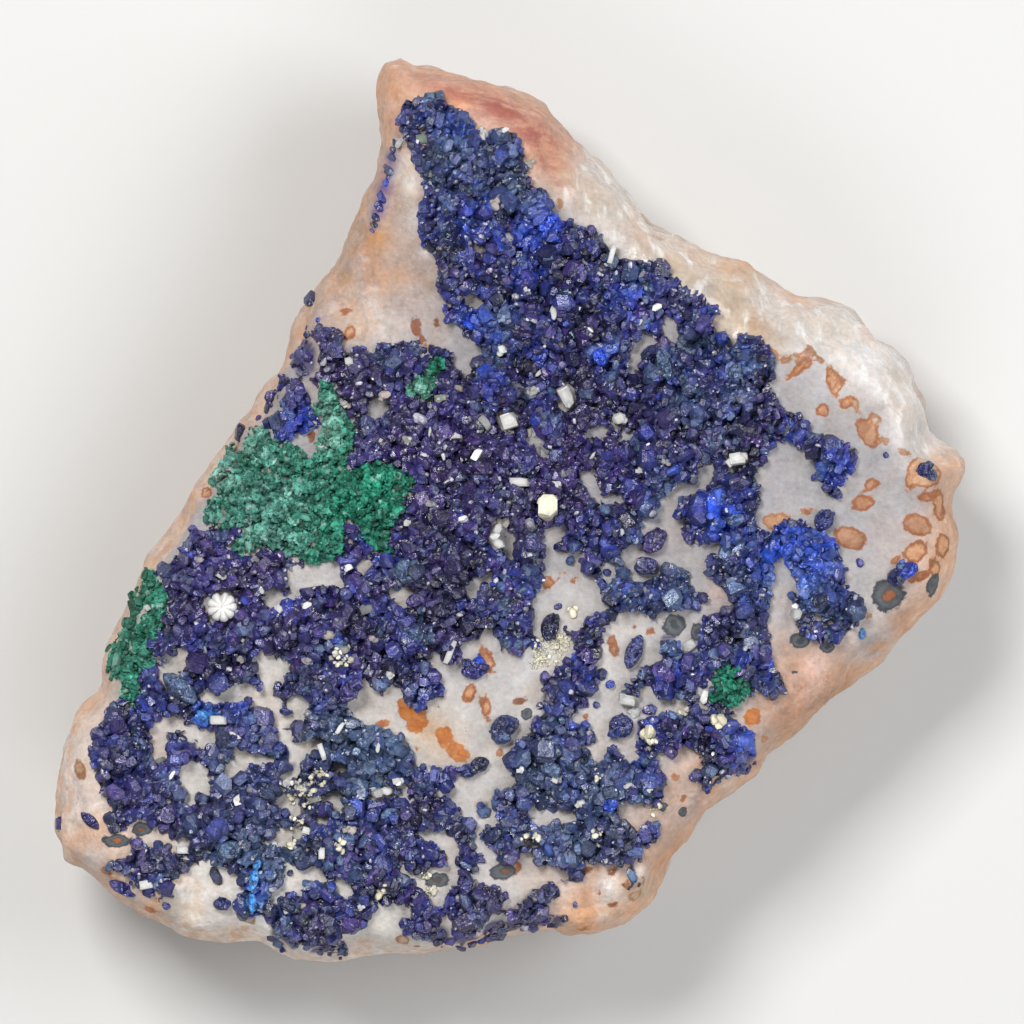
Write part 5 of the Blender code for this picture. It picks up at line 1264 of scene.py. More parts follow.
def stud_spots(broad, azurite, rng):
    """Smaller crystals grown over each broad one."""
    spots = []
    for base in broad:
        length, width, _ = base.size
        around = Matrix.Rotation(base.turn[2], 3, "Z")
        for _ in range(6):
            offset = Vector((rng.uniform(-0.38, 0.38) * length, rng.uniform(-0.32, 0.32) * width,
                             rng.uniform(0.0, 0.00028)))
            across = width * rng.uniform(0.35, 0.65)
            turn = Euler([rng.uniform(0.0, 6.28) for _ in range(3)])
            colour = blend(base.colour, azurite_colour(base.place, azurite, rng), 0.35)
            spots.append(Spot(base.place + around @ offset, turn, (1.4 * across, across, across),
                              rng.randrange(15), colour))
    return spots


def speck_spots(azurite, rng):
    """Single small crystals on the bare rock and its border."""
    rock = tree_of([bpy.data.objects["rock"].data])
    spots = []
    for x, y, length, width, turn in SPECKS:
        place, normal = drop_onto(rock, *on_face(x, y))
        size = (length * GRID_STEP, 1.5 * width * GRID_STEP, 1.5 * width * GRID_STEP)
        stand = normal.to_track_quat("Z", "Y").to_matrix()
        around = Matrix.Rotation(math.radians(turn), 3, "Z")
        spots.append(Spot(place, (stand @ around).to_euler(), size, 5 + rng.randrange(10),
                          azurite_colour(place, azurite, rng)))
    return spots


# --- malachite ----------------------------------------------------------------------------
TUFTS = 640.0                     # malachite tufts to the metre
TUFT_RISE = 0.00034


def tuft_at(place):
    """How near a place is to the middle of its malachite tuft, 0 to 1, and the tuft's own chance."""
    distances, points = noise.voronoi(Vector((place.x, place.y, 0.0)) * TUFTS)
    chance = 0.5 + 0.5 * math.sin(points[0].x * 53.1 + points[0].y * 77.9)
    return max(0.0, min(1.0, 2.2 * (distances[1] - distances[0]))), chance


def malachite_colour(place, malachite, rng):
    x = place.x / GRID_STEP + GRID_CENTRE[0]
    tuft, mass = tuft_at(place)
    left = max(0.0, min(1.0, (345.0 - x) / 60.0)) * max(0.35, min(1.0, (x - 160.0) / 40.0))
    usual = blend(tuple(malachite.green), tuple(malachite.grey), left * (0.45 + 0.55 * mass))
    light = 0.62 + 0.40 * (mass - 0.5) + rng.gauss(0.0, 0.24)
    colour = blend(tuple(malachite.deep), usual, max(0.0, min(1.0, light)))
    y = GRID_CENTRE[1] - place.y / GRID_STEP
    for centre_x, centre_y, radius in MINT_PATCHES:
        away = ((x - centre_x) ** 2 + (y - centre_y) ** 2) / radius ** 2
        colour = blend(colour, tuple(malachite.mint), rng.uniform(0.2, 0.9) * math.exp(-away))
    chance = rng.random()
    if chance < 0.04 + 0.16 * left:
        colour = blend(colour, tuple(malachite.mint), rng.uniform(0.2, 0.9))
    elif chance < 0.04 + 0.21 * left:
        colour = blend(colour, (0.50, 0.42, 0.39), rng.uniform(0.3, 0.9))
    # painted shade: colour darkened towards deep green away from each tuft's middle, in the crevices between
    # tufts
    return blend(tuple(0.35 * c for c in malachite.deep), colour, 0.40 + 0.60 * tuft ** 0.5)


def malachite_relief(malachite, rng):
    """How the malachite mass rises and is coloured: tufts broken into small crumbs, with painted shade between
    tufts and on crumbs that sink.
    """
    tones = {}

    def relief(place):
        tuft, _ = tuft_at(place)
        face, _ = crystal_face(place, 1300.0, 0.7)
        crumb, middle = crystal_face(place, 2700.0, 1.0)
        key = (round(middle.x, 2), round(middle.y, 2))
        if key not in tones:
            tones[key] = malachite_colour(place, malachite, rng)
        height = TUFT_RISE * tuft ** 0.6 + face + crumb
        # shade is painted shade: lower between tufts and where a crumb sinks into the mass
        shade = max(0.0, min(1.0, 0.35 + 0.5 * tuft + 1600.0 * (face + crumb)))
        return height, shade, tones[key]

    return relief


def build_malachite(malachite, material):
    """The malachite masses, and loose grains over them."""
    rng = random.Random(23)
    mass = craggy_mass("malachite_mass", MALACHITES, malachite.cell, malachite_relief(malachite, rng),
                       material)
    tree = tree_of([mass.data])
    grains = crystal_set("malachite_forms", ("block", "shard", "chip"), 5, rng)
    spots = []
    for name in MALACHITES:
        low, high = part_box(name)
        for place, _ in scattered_places(tree, low, high, lambda x, y: 0.85 * malachite.grain, rng):
            across = malachite.grain * min(2.0, rng.lognormvariate(0.0, 0.35))
            turn = Euler([rng.uniform(0.0, 6.28) for _ in range(3)])
            spots.append(Spot(place, turn, (1.2 * across, across, across), rng.randrange(15),
                              malachite_colour(place, malachite, rng)))
    rock = bpy.data.objects["rock"].data
    outer = part_tree(rock, inside_ellipses(rock, MALACHITE_MORE) & (read_points(rock)[:, 2] > 0.009))
    for place, _ in scattered_places(outer, CAD_LOW, CAD_HIGH, lambda x, y: 0.6 * malachite.grain, rng):
        across = 1.5 * malachite.grain * min(2.0, rng.lognormvariate(0.0, 0.35))
        turn = Euler([rng.uniform(0.0, 6.28) for _ in range(3)])
        spots.append(Spot(place, turn, (1.2 * across, across, across), rng.randrange(15),
                          malachite_colour(place, malachite, rng)))
    piece = grow("malachite_grains", spots, grains, material)
    remove_set(grains)
    return mass, piece


# --- calcite and the yellow grains --------------------------------------------------------
BEVELLED, BROKEN, SHARP, SPLIT = 0, 6, 12, 18
BROKEN_SOLIDS = ("calcite_window", "calcite_middle", "calcite_lower_patch", "calcite_bay")


def white_spot(place, length, width, turn, calcite, rng, form=BEVELLED, thick=1.0):
    """A white crystal lying at a place, its length along a bearing."""
    size = (length * GRID_STEP, width * GRID_STEP, thick * width * GRID_STEP)
    spin = Euler((rng.gauss(0.0, 0.16), rng.gauss(0.0, 0.14), math.radians(turn)))
    shade = rng.uniform(0.60, 1.0) if form == BROKEN else rng.uniform(0.82, 1.08)
    return Spot(place, spin, size, form + rng.randrange(6), tuple(shade * c for c in calcite.white))


def broken_bit(place, length, width, turn, calcite, rng, colour=None):
    """A rough bit: three broken pieces lying over each other."""
    spots = []
    for share in (0.85, 0.65, 0.55):
        offset = Vector((rng.uniform(-0.3, 0.3) * length, rng.uniform(-0.3, 0.3) * width, 0.0))
        form = rng.choice((BROKEN, SHARP, SPLIT))
        spot = white_spot(place + offset * GRID_STEP, share * length, 1.5 * share * width,
                          turn + rng.uniform(-50.0, 50.0), calcite, rng, form, 0.9)
        spots.append(spot if colour is None else Spot(spot.place, spot.turn, spot.size, spot.kind,
                                                      tuple(rng.uniform(0.88, 1.1) * c for c in colour)))
    return spots


def covered_surface():
    """The specimen's finished face, to set small crystals on."""
    names = [f"azurite_crystals_{band}" for band in ("upper", "middle", "lower")]
    names += ["rock", "azurite_mass", "malachite_mass"]
    return tree_of([bpy.data.objects[name].data for name in names])


def build_rosette(calcite, material):
    """The flat white rosette: petals with rounded ends round a dimple, one gap in its rim."""
    low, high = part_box("calcite_rosette")
    x, y, radius = ROSETTE
    bm = bmesh.new()
    bmesh.ops.create_uvsphere(bm, u_segments=108, v_segments=16, radius=1.0)
    painted_groove_shade = []
    for vert in bm.verts:
        bearing = math.atan2(vert.co.y, vert.co.x)
        out = min(1.0, math.hypot(vert.co.x, vert.co.y))
        petal = abs(math.cos(0.5 * PETALS * bearing))
        gap = math.exp(-((math.degrees(bearing) - ROSETTE_NOTCH) / 9.0) ** 2)
        rim = 0.88 + 0.13 * petal ** 0.6 - 0.16 * gap
        groove = out * (0.30 * (1.0 - petal) ** 2 + 0.35 * gap)
        dimple = 0.30 * math.exp(-(out / 0.17) ** 2)
        swell = 0.05 * noise.noise(vert.co * 5.0)
        side = math.copysign(abs(vert.co.z) ** 0.55, vert.co.z)
        vert.co.x *= rim
        vert.co.y *= rim
        vert.co.z = side * (1.0 - groove - dimple + swell)
        # own z carries painted shade, darker in the grooves between petals and in the dimple
        painted_groove_shade.append((0.0, 0.0, 0.05 - 0.36 * (groove + dimple)))
    bmesh.ops.scale(bm, vec=(radius * GRID_STEP, radius * GRID_STEP, 0.5 * (high.z - low.z)),
                    verts=bm.verts)
    flat = on_face(x, y)
    bmesh.ops.translate(bm, vec=(flat.x, flat.y, 0.5 * (low.z + high.z)), verts=bm.verts)
    bmesh.ops.recalc_face_normals(bm, faces=bm.faces)
    piece = new_piece("calcite_daisy", bm, material)
    piece.data.shade_smooth()
    store(piece.data, "own", "FLOAT_VECTOR", painted_groove_shade)
    white = tuple(min(1.0, 1.12 * c) for c in calcite.white)
    store(piece.data, "colour", "FLOAT_COLOR", [(*white, 1.0)] * len(painted_groove_shade))
    return piece


def build_calcite(calcite, material):
    """The white crystals: those that stand for the solids, and the smaller ones besides."""
    rng = random.Random(31)
    covered = covered_surface()
    blocks = crystal_set("calcite_forms", ("bevelled", "block", "prism", "shard"), 6, rng)
    spots = []
    for x, y, length, width, turn in WHITE_CRYSTALS:
        place, _ = drop_onto(covered, *on_face(x, y))
        place = place + Vector((0.0, 0.0, 0.1 * width * GRID_STEP))
        if length > 1.4 * width:
            form = rng.choice((SHARP, SPLIT))
            spots.append(white_spot(place, 1.1 * length, 1.3 * width, turn, calcite, rng, form, 1.2))
        else:
            spots += broken_bit(place, length, width, turn, calcite, rng)
    for x, y, length, width, turn in GREY_BITS:
        place, _ = drop_onto(covered, *on_face(x, y))
        tone = blend((0.21, 0.21, 0.21), (0.40, 0.37, 0.33), rng.random())
        spots += broken_bit(place, 1.2 * length, width, turn, calcite, rng, tone)
    small = grow("calcite_crystals", spots, blocks, material)
    spots = []
    for name, x, y, length, width, turn in SOLID_CRYSTALS:
        low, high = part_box(name)
        flat = on_face(x, y)
        foot = 0.5 * (low.z + high.z)
        for step in range(2):
            place = Vector((flat.x, flat.y, foot + step * 0.4 * (high.z - foot)))
            form = BROKEN if name in BROKEN_SOLIDS else BEVELLED
            spots.append(white_spot(place, length, 1.1 * width, turn, calcite, rng, form, 1.1))
    standing = grow("calcite_blocks", spots, blocks, material)
    remove_set(blocks)
    return small, standing


def build_yellow_grains(calcite, material):
    """Groups of pale-yellow grains on the crust and the rock."""
    rng = random.Random(37)
    covered = covered_surface()
    chips = crystal_set("yellow_forms", ("chip",), 6, rng)
    spots = []
    for x, y, radius, count, larger in YELLOW_GROUPS:
        for _ in range(count):
            angle, reach = rng.uniform(0.0, 6.28), radius * math.sqrt(rng.random())
            landed = drop_onto(covered, *on_face(x + reach * math.cos(angle),
                                                 y + reach * math.sin(angle)))
            across = larger * calcite.grain * rng.lognormvariate(0.0, 0.3)
            turn = Euler((rng.gauss(0.0, 0.4), rng.gauss(0.0, 0.4), rng.uniform(0.0, 6.28)))
            shade = rng.uniform(0.8, 1.15)
            spots.append(Spot(landed[0] + Vector((0.0, 0.0, 0.15 * across)), turn, (across,) * 3,
                              rng.randrange(6), tuple(min(1.0, shade * c) for c in calcite.yellow)))
    piece = grow("yellow_grains", spots, chips, material)
    remove_set(chips)
    return piece


# --- materials ----------------------------------------------------------------------------
def shader_group(name, inputs, outputs):
    """An empty shader node group with the given sockets, each (name, kind, default)."""
    group = bpy.data.node_groups.new(name, "ShaderNodeTree")
    for label, kind, default in inputs:
        socket = group.interface.new_socket(label, in_out="INPUT", socket_type=kind)
        if default is not None:
            socket.default_value = default
    for label, kind, _ in outputs:
        group.interface.new_socket(label, in_out="OUTPUT", socket_type=kind)
    return group, group.nodes.new("NodeGroupInput"), group.nodes.new("NodeGroupOutput")


def noise_node(tree, coordinates, scale, detail=3.0, roughness=0.55):
    made = tree.nodes.new("ShaderNodeTexNoise")
    made.inputs["Scale"].default_value = scale
    made.inputs["Detail"].default_value = detail
    made.inputs["Roughness"].default_value = roughness
    tree.links.new(coordinates, made.inputs["Vector"])
    return made.outputs["Fac"]


def math_node(tree, operation, first, second=None, third=None):
    made = tree.nodes.new("ShaderNodeMath")
    made.operation = operation
    for socket, value in zip(made.inputs, (first, second, third)):
        if value is None:
            continue
        if isinstance(value, (int, float)):
            socket.default_value = value
        else:
            tree.links.new(value, socket)
    return made.outputs[0]


def range_node(tree, value, low, high, out_low=0.0, out_high=1.0):
    made = tree.nodes.new("ShaderNodeMapRange")
    made.interpolation_type = "SMOOTHSTEP"
    tree.links.new(value, made.inputs["Value"])
    made.inputs["From Min"].default_value = low
    made.inputs["From Max"].default_value = high
    made.inputs["To Min"].default_value = out_low
    made.inputs["To Max"].default_value = out_high
    return made.outputs["Result"]


def mix_node(tree, share, first, second, blend_type="MIX"):
    made = tree.nodes.new("ShaderNodeMix")
    made.data_type = "RGBA"
    made.blend_type = blend_type
    for socket, value in ((made.inputs[0], share), (made.inputs[6], first), (made.inputs[7], second)):
        if isinstance(value, (int, float, tuple)):
            socket.default_value = value
        else:
            tree.links.new(value, socket)
    return made.outputs[2]


def attribute_node(tree, name, output="Fac"):
    made = tree.nodes.new("ShaderNodeAttribute")
    made.attribute_name = name
    return made.outputs[output]


def grain_group():
    """Mineral grain: mottles a colour and gives a height, from two scales of noise."""
    group, inlet, outlet = shader_group(
        "Mineral grain",
        [("Vector", "NodeSocketVector", None), ("Colour", "NodeSocketColor", (0.5, 0.5, 0.5, 1.0)),
         ("Scale", "NodeSocketFloat", 900.0), ("Contrast", "NodeSocketFloat", 0.3)],
        [("Colour", "NodeSocketColor", None), ("Height", "NodeSocketFloat", None)])
    vector, scale = inlet.outputs["Vector"], inlet.outputs["Scale"]
    fine = group.nodes.new("ShaderNodeTexNoise")
    broad = group.nodes.new("ShaderNodeTexNoise")
    for node, share, detail in ((fine, 1.0, 4.0), (broad, 0.22, 2.0)):
        node.inputs["Detail"].default_value = detail
        group.links.new(vector, node.inputs["Vector"])
        group.links.new(math_node(group, "MULTIPLY", scale, share), node.inputs["Scale"])
    both = math_node(group, "ADD", fine.outputs["Fac"], broad.outputs["Fac"])
    swing = math_node(group, "SUBTRACT", both, 1.0)
    gain = math_node(group, "MULTIPLY_ADD", swing, inlet.outputs["Contrast"], 1.0)
    shade = group.nodes.new("ShaderNodeVectorMath")
    shade.operation = "SCALE"
    group.links.new(inlet.outputs["Colour"], shade.inputs[0])
    group.links.new(gain, shade.inputs["Scale"])
    group.links.new(shade.outputs[0], outlet.inputs["Colour"])
    group.links.new(fine.outputs["Fac"], outlet.inputs["Height"])
    return group


def painted_core_and_shade_group():
    """Painted light and shade inside one crystal, from its own coordinates: a painted lit core, a painted shaded
    rim, and painted shade towards its underside.
    """
    group, inlet, outlet = shader_group(
        "Crystal zoning",
        [("Own", "NodeSocketVector", None), ("Colour", "NodeSocketColor", (0.5, 0.5, 0.5, 1.0)),
         ("Core", "NodeSocketFloat", 1.3), ("Rim", "NodeSocketFloat", 0.5)],
        [("Colour", "NodeSocketColor", None)])
    flat = group.nodes.new("ShaderNodeVectorMath")
    flat.operation = "MULTIPLY"
    flat.inputs[1].default_value = (2.0, 3.2, 0.0)
    group.links.new(inlet.outputs["Own"], flat.inputs[0])
    away = group.nodes.new("ShaderNodeVectorMath")
    away.operation = "LENGTH"
    group.links.new(flat.outputs[0], away.inputs[0])
    # painted light in the core and painted shade at the rim
    rim = range_node(group, away.outputs["Value"], 0.45, 1.0)
    span = math_node(group, "SUBTRACT", inlet.outputs["Rim"], inlet.outputs["Core"])
    gain = math_node(group, "MULTIPLY_ADD", rim, span, inlet.outputs["Core"])
    # painted shade towards the crystal's own underside, or from a mass's painted shade held in its own z
    height = group.nodes.new("ShaderNodeSeparateXYZ")
    group.links.new(inlet.outputs["Own"], height.inputs[0])
    gain = math_node(group, "MULTIPLY", gain, range_node(group, height.outputs["Z"], -0.16, 0.04, 0.5, 1.0))
    shade = group.nodes.new("ShaderNodeVectorMath")
    shade.operation = "SCALE"
    group.links.new(inlet.outputs["Colour"], shade.inputs[0])
    group.links.new(gain, shade.inputs["Scale"])
    group.links.new(shade.outputs[0], outlet.inputs["Colour"])
    return group


def with_painted_light_and_shade(tree, colour, core, rim):
    """A crystal's colour with painted light in its core and painted shade at its rim and underside."""
    made = tree.nodes.new("ShaderNodeGroup")
    made.node_tree = bpy.data.node_groups.get("Crystal zoning") or painted_core_and_shade_group()
    tree.links.new(attribute_node(tree, "own", "Vector"), made.inputs["Own"])
    tree.links.new(colour, made.inputs["Colour"])
    made.inputs["Core"].default_value = core
    made.inputs["Rim"].default_value = rim
    return made.outputs["Colour"]


def new_material(name):
    """A material with its shader, and Object coordinates."""
    material = bpy.data.materials.new(name)
    material.use_nodes = True
    tree = material.node_tree
    shader = tree.nodes["Principled BSDF"]
    coordinates = tree.nodes.new("ShaderNodeTexCoord").outputs["Object"]
    return material, tree, shader, coordinates


def place_group(tree, group, coordinates, colour, **values):
    made = tree.nodes.new("ShaderNodeGroup")
    made.node_tree = group
    tree.links.new(coordinates, made.inputs["Vector"])
    if isinstance(colour, tuple):
        made.inputs["Colour"].default_value = colour
    else:
        tree.links.new(colour, made.inputs["Colour"])
    for name, value in values.items():
        made.inputs[name].default_value = value
    return made


def add_bump(tree, shader, height, distance, strength=1.0):
    bump = tree.nodes.new("ShaderNodeBump")
    bump.inputs["Distance"].default_value = distance
    bump.inputs["Strength"].default_value = strength
    tree.links.new(height, bump.inputs["Height"])
    tree.links.new(bump.outputs["Normal"], shader.inputs["Normal"])


def opaque(colour):
    return (*colour, 1.0)


def rock_material(rock, grain):
    material, tree, shader, coordinates = new_material("rock_face")
    wobble = noise_node(tree, coordinates, 1400.0, 3.0, 0.6)
    colour = attribute_node(tree, "tint", "Color")
    mottle = math_node(tree, "MULTIPLY_ADD", attribute_node(tree, "mottle"), 0.72, 0.28)
    for scale, low, high, shade in ((330.0, 0.48, 0.62, (1.05, 0.86, 0.70, 1.0)),
                                    (620.0, 0.50, 0.64, (1.24, 1.28, 1.34, 1.0)),
                                    (900.0, 0.50, 0.64, (0.80, 0.78, 0.78, 1.0))):
        patch = range_node(tree, noise_node(tree, coordinates, scale, 5.0, 0.68), low, high)
        colour = mix_node(tree, math_node(tree, "MULTIPLY", patch, mottle), colour, shade, "MULTIPLY")
    border = attribute_node(tree, "border")
    rusty = range_node(tree, noise_node(tree, coordinates, 520.0, 4.0, 0.7), 0.48, 0.66, 0.0, 0.85)
    stained = math_node(tree, "MAXIMUM", border, math_node(tree, "MULTIPLY", mottle, 0.45))
    stained = math_node(tree, "SUBTRACT", stained, 0.13)
    colour = mix_node(tree, math_node(tree, "MULTIPLY", rusty, stained), colour, opaque(rock.tan))
    colour = mix_node(tree, brick_share(tree, coordinates), colour, opaque(rock.brick))
    # white veins, partly painted glints on the quartz
    colour = mix_node(tree, vein_and_glint_share(tree, coordinates), colour, (0.80, 0.79, 0.77, 1.0))
    colour = with_stains(tree, colour, wobble, coordinates, rock)
    colour = with_spots(tree, colour, wobble, rock)
    grains = place_group(tree, grain, coordinates, colour, Scale=2600.0, Contrast=0.50)
    tree.links.new(grains.outputs["Colour"], shader.inputs["Base Color"])
    quartz = attribute_node(tree, "quartz")
    rough = range_node(tree, quartz, 0.0, 1.0, 0.62, 0.24)
    tree.links.new(rough, shader.inputs["Roughness"])
    tree.links.new(math_node(tree, "MULTIPLY", quartz, 0.9), shader.inputs["Coat Weight"])
    shader.inputs["Coat Roughness"].default_value = 0.16
    shader.inputs["Subsurface Weight"].default_value = 0.12
    shader.inputs["Subsurface Radius"].default_value = (0.0012, 0.0008, 0.0006)
    shader.inputs["Subsurface Scale"].default_value = 1.0
    facets = tree.nodes.new("ShaderNodeTexVoronoi")
    facets.inputs["Scale"].default_value = 1100.0
    tree.links.new(coordinates, facets.inputs["Vector"])
    facet_height = math_node(tree, "MULTIPLY", facets.outputs["Distance"], quartz)
    height = math_node(tree, "MULTIPLY_ADD", facet_height, 1.2, grains.outputs["Height"])
    add_bump(tree, shader, height, 0.00012, 0.8)
    return material


def vein_and_glint_share(tree, coordinates):
    """Short white veins through the quartz, partly painted glints along it."""
    along = tree.nodes.new("ShaderNodeMapping")
    along.inputs["Rotation"].default_value = (0.0, 0.0, math.radians(20.0))
    along.inputs["Scale"].default_value = (1000.0, 280.0, 600.0)
    tree.links.new(coordinates, along.inputs["Vector"])
    veins = noise_node(tree, along.outputs["Vector"], 1.0, 3.0, 0.5)
    share = range_node(tree, veins, 0.54, 0.70, 0.0, 0.6)
    return math_node(tree, "MULTIPLY", share, attribute_node(tree, "quartz"))


def brick_share(tree, coordinates):
    """Red fibres that run along the tip."""
    along = tree.nodes.new("ShaderNodeMapping")
    along.inputs["Rotation"].default_value = (0.0, 0.0, math.radians(33.0))
    along.inputs["Scale"].default_value = (170.0, 1500.0, 1500.0)
    tree.links.new(coordinates, along.inputs["Vector"])
    fibres = noise_node(tree, along.outputs["Vector"], 1.0, 4.0, 0.6)
    share = range_node(tree, fibres, 0.38, 0.58, 0.45, 1.0)
    return math_node(tree, "MULTIPLY", share, attribute_node(tree, "brick"))


def with_stains(tree, colour, wobble, coordinates, rock):
    """Iron stains: a dark rusty rim and a paler middle, or one vivid orange."""
    edge = math_node(tree, "MULTIPLY_ADD", wobble, 0.7, -0.35)
    stain = math_node(tree, "ADD", attribute_node(tree, "stain"), edge)
    tone = attribute_node(tree, "stain_tone")
    inside = range_node(tree, stain, 0.08, -0.07)
    body = mix_node(tree, range_node(tree, tone, 0.15, 0.35), opaque(rock.ochre), opaque(rock.tan))
    body = mix_node(tree, range_node(tree, tone, 0.36, 0.48), body, opaque(rock.straw))
    body = mix_node(tree, range_node(tree, tone, 0.55, 0.8), body, opaque(rock.orange))
    rim = math_node(tree, "MULTIPLY", range_node(tree, stain, -0.32, -0.12), inside)
    rim = math_node(tree, "MULTIPLY", rim, range_node(tree, tone, 0.1, 1.0, 1.0, 0.25))
    body = mix_node(tree, rim, body, opaque(rock.rust))
    body = mix_node(tree, range_node(tree, tone, 0.18, 0.08), body, opaque(rock.brown))
    shade = range_node(tree, noise_node(tree, coordinates, 900.0, 4.0, 0.7), 0.42, 0.60)
    body = mix_node(tree, shade, body, (0.82, 0.68, 0.54, 1.0), "MULTIPLY")
    faded = range_node(tree, wobble, 0.35, 0.62, 0.92, 1.0)
    return mix_node(tree, math_node(tree, "MULTIPLY", inside, faded), colour, body)


def with_spots(tree, colour, wobble, rock):
    """Dark altered spots with a paler ring inside."""
    spot = math_node(tree, "MULTIPLY_ADD", wobble, 0.9, attribute_node(tree, "spot"))
    dark = range_node(tree, spot, 1.54, 1.34)
    ring = range_node(tree, math_node(tree, "ABSOLUTE", math_node(tree, "SUBTRACT", spot, 1.06)),
                      0.26, 0.06)
    ring = math_node(tree, "MULTIPLY", ring, range_node(tree, wobble, 0.30, 0.60, 0.5, 1.0))
    spot_colour = mix_node(tree, ring, opaque(rock.spot), (0.088, 0.099, 0.110, 1.0))
    centre = math_node(tree, "MULTIPLY", range_node(tree, spot, 0.94, 0.68),
                       attribute_node(tree, "spot_warmth"))
    spot_colour = mix_node(tree, centre, spot_colour, opaque(rock.rust))
    return mix_node(tree, dark, colour, spot_colour)


def azurite_material(name, grain, druse):
    """Azurite crystals; druse roughens broad ones with a crust of tiny crystals."""
    material, tree, shader, coordinates = new_material(name)
    own = with_painted_light_and_shade(tree, attribute_node(tree, "colour", "Color"), 1.22, 0.84)
    cells = tree.nodes.new("ShaderNodeTexVoronoi")
    cells.inputs["Scale"].default_value = 2400.0
    tree.links.new(coordinates, cells.inputs["Vector"])
    chance = tree.nodes.new("ShaderNodeSeparateColor")
    tree.links.new(cells.outputs["Color"], chance.inputs[0])
    own = mix_node(tree, range_node(tree, chance.outputs[0], 0.3, 1.0, 0.0, 0.9 if druse else 0.45),
                   own, (0.45, 0.45, 0.55, 1.0), "MULTIPLY")
    own = mix_node(tree, range_node(tree, chance.outputs[1], 0.5, 1.0, 0.0, 0.8 if druse else 0.4),
                   own, (1.7, 1.8, 1.6, 1.0), "MULTIPLY")
    grains = place_group(tree, grain, coordinates, own, Scale=4200.0, Contrast=1.3)
    tree.links.new(grains.outputs["Colour"], shader.inputs["Base Color"])
    rough = range_node(tree, noise_node(tree, coordinates, 1500.0, 3.0), 0.3, 0.7, 0.14, 0.48)
    tree.links.new(rough, shader.inputs["Roughness"])
    shader.inputs["IOR"].default_value = 1.70
    height = math_node(tree, "MULTIPLY_ADD", cells.outputs["Distance"], -2.4 if druse else -0.5,
                       grains.outputs["Height"])
    add_bump(tree, shader, height, 0.00014 if druse else 0.00009, 0.9)
    return material


def azurite_base_material(azurite, grain):
    """The crust below the crystals: a mosaic of small dark ones."""
    material, tree, shader, coordinates = new_material("azurite_base")
    cells = tree.nodes.new("ShaderNodeTexVoronoi")
    cells.inputs["Scale"].default_value = 1300.0
    tree.links.new(coordinates, cells.inputs["Vector"])
    chance = tree.nodes.new("ShaderNodeSeparateColor")
    tree.links.new(cells.outputs["Color"], chance.inputs[0])
    colour = mix_node(tree, range_node(tree, chance.outputs[0], 0.5, 1.0, 0.0, 0.45),
                      opaque(azurite.deep), opaque(azurite.royal))
    colour = mix_node(tree, range_node(tree, chance.outputs[1], 0.6, 1.0, 0.0, 0.6), colour,
                      opaque(azurite.smoke))
    grains = place_group(tree, grain, coordinates, colour, Scale=2600.0, Contrast=1.2)
    tree.links.new(grains.outputs["Colour"], shader.inputs["Base Color"])
    shader.inputs["Roughness"].default_value = 0.42
    shader.inputs["IOR"].default_value = 1.75
    height = math_node(tree, "MULTIPLY_ADD", cells.outputs["Distance"], -2.0,
                       grains.outputs["Height"])
    add_bump(tree, shader, height, 0.00030, 1.0)
    return material


def malachite_material(name, own_colour, grain):
    material, tree, shader, coordinates = new_material(name)
    colour = own_colour if own_colour else with_painted_light_and_shade(tree, attribute_node(tree, "colour", "Color"),
                                                 1.15, 0.7)
    grains = place_group(tree, grain, coordinates, colour, Scale=3200.0, Contrast=0.9)
    tree.links.new(grains.outputs["Colour"], shader.inputs["Base Color"])
    shader.inputs["Roughness"].default_value = 0.55
    add_bump(tree, shader, grains.outputs["Height"], 0.00012, 0.9)
    return material


def calcite_material(name, own_colour, grain):
    material, tree, shader, coordinates = new_material(name)
    colour = own_colour if own_colour else with_painted_light_and_shade(tree, attribute_node(tree, "colour", "Color"),
                                                 1.0, 0.80)
    grains = place_group(tree, grain, coordinates, colour, Scale=2400.0, Contrast=0.35)
    tree.links.new(grains.outputs["Colour"], shader.inputs["Base Color"])
    shader.inputs["Roughness"].default_value = 0.28
    shader.inputs["Subsurface Weight"].default_value = 0.3
    shader.inputs["Subsurface Radius"].default_value = (0.0010, 0.0009, 0.0007)
    shader.inputs["Subsurface Scale"].default_value = 1.0
    add_bump(tree, shader, grains.outputs["Height"], 0.00005, 0.5)
    return material


def floor_material(stage):
    material, tree, shader, coordinates = new_material("floor_paper")
    faint = range_node(tree, noise_node(tree, coordinates, 900.0), 0.3, 0.7, 0.0, 0.03)
    colour = mix_node(tree, faint, opaque(stage.floor), (0.7, 0.69, 0.67, 1.0))
    tree.links.new(colour, shader.inputs["Base Color"])
    shader.inputs["Roughness"].default_value = 0.85
    return material


def shared_grain():
    return bpy.data.node_groups.get("Mineral grain") or grain_group()


def dress(names, material):
    """Give CAD nodes a material."""
    for name in names:
        mesh = NODES[name].data
        if mesh.materials:
            mesh.materials[0] = material
        else:
            mesh.materials.append(material)


# --- operators ----------------------------------------------------------------------------
class BuildRock(bpy.types.Operator):
    """Build the slab of rock"""
    bl_idname = "azurite.build_rock"
    bl_label = "Rock"

    def execute(self, context):
        rock = context.scene.azurite_rock
        piece = build_rock(rock, rock_material(rock, shared_grain()))
        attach(piece, "root")
        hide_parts("matrix")
        return {"FINISHED"}


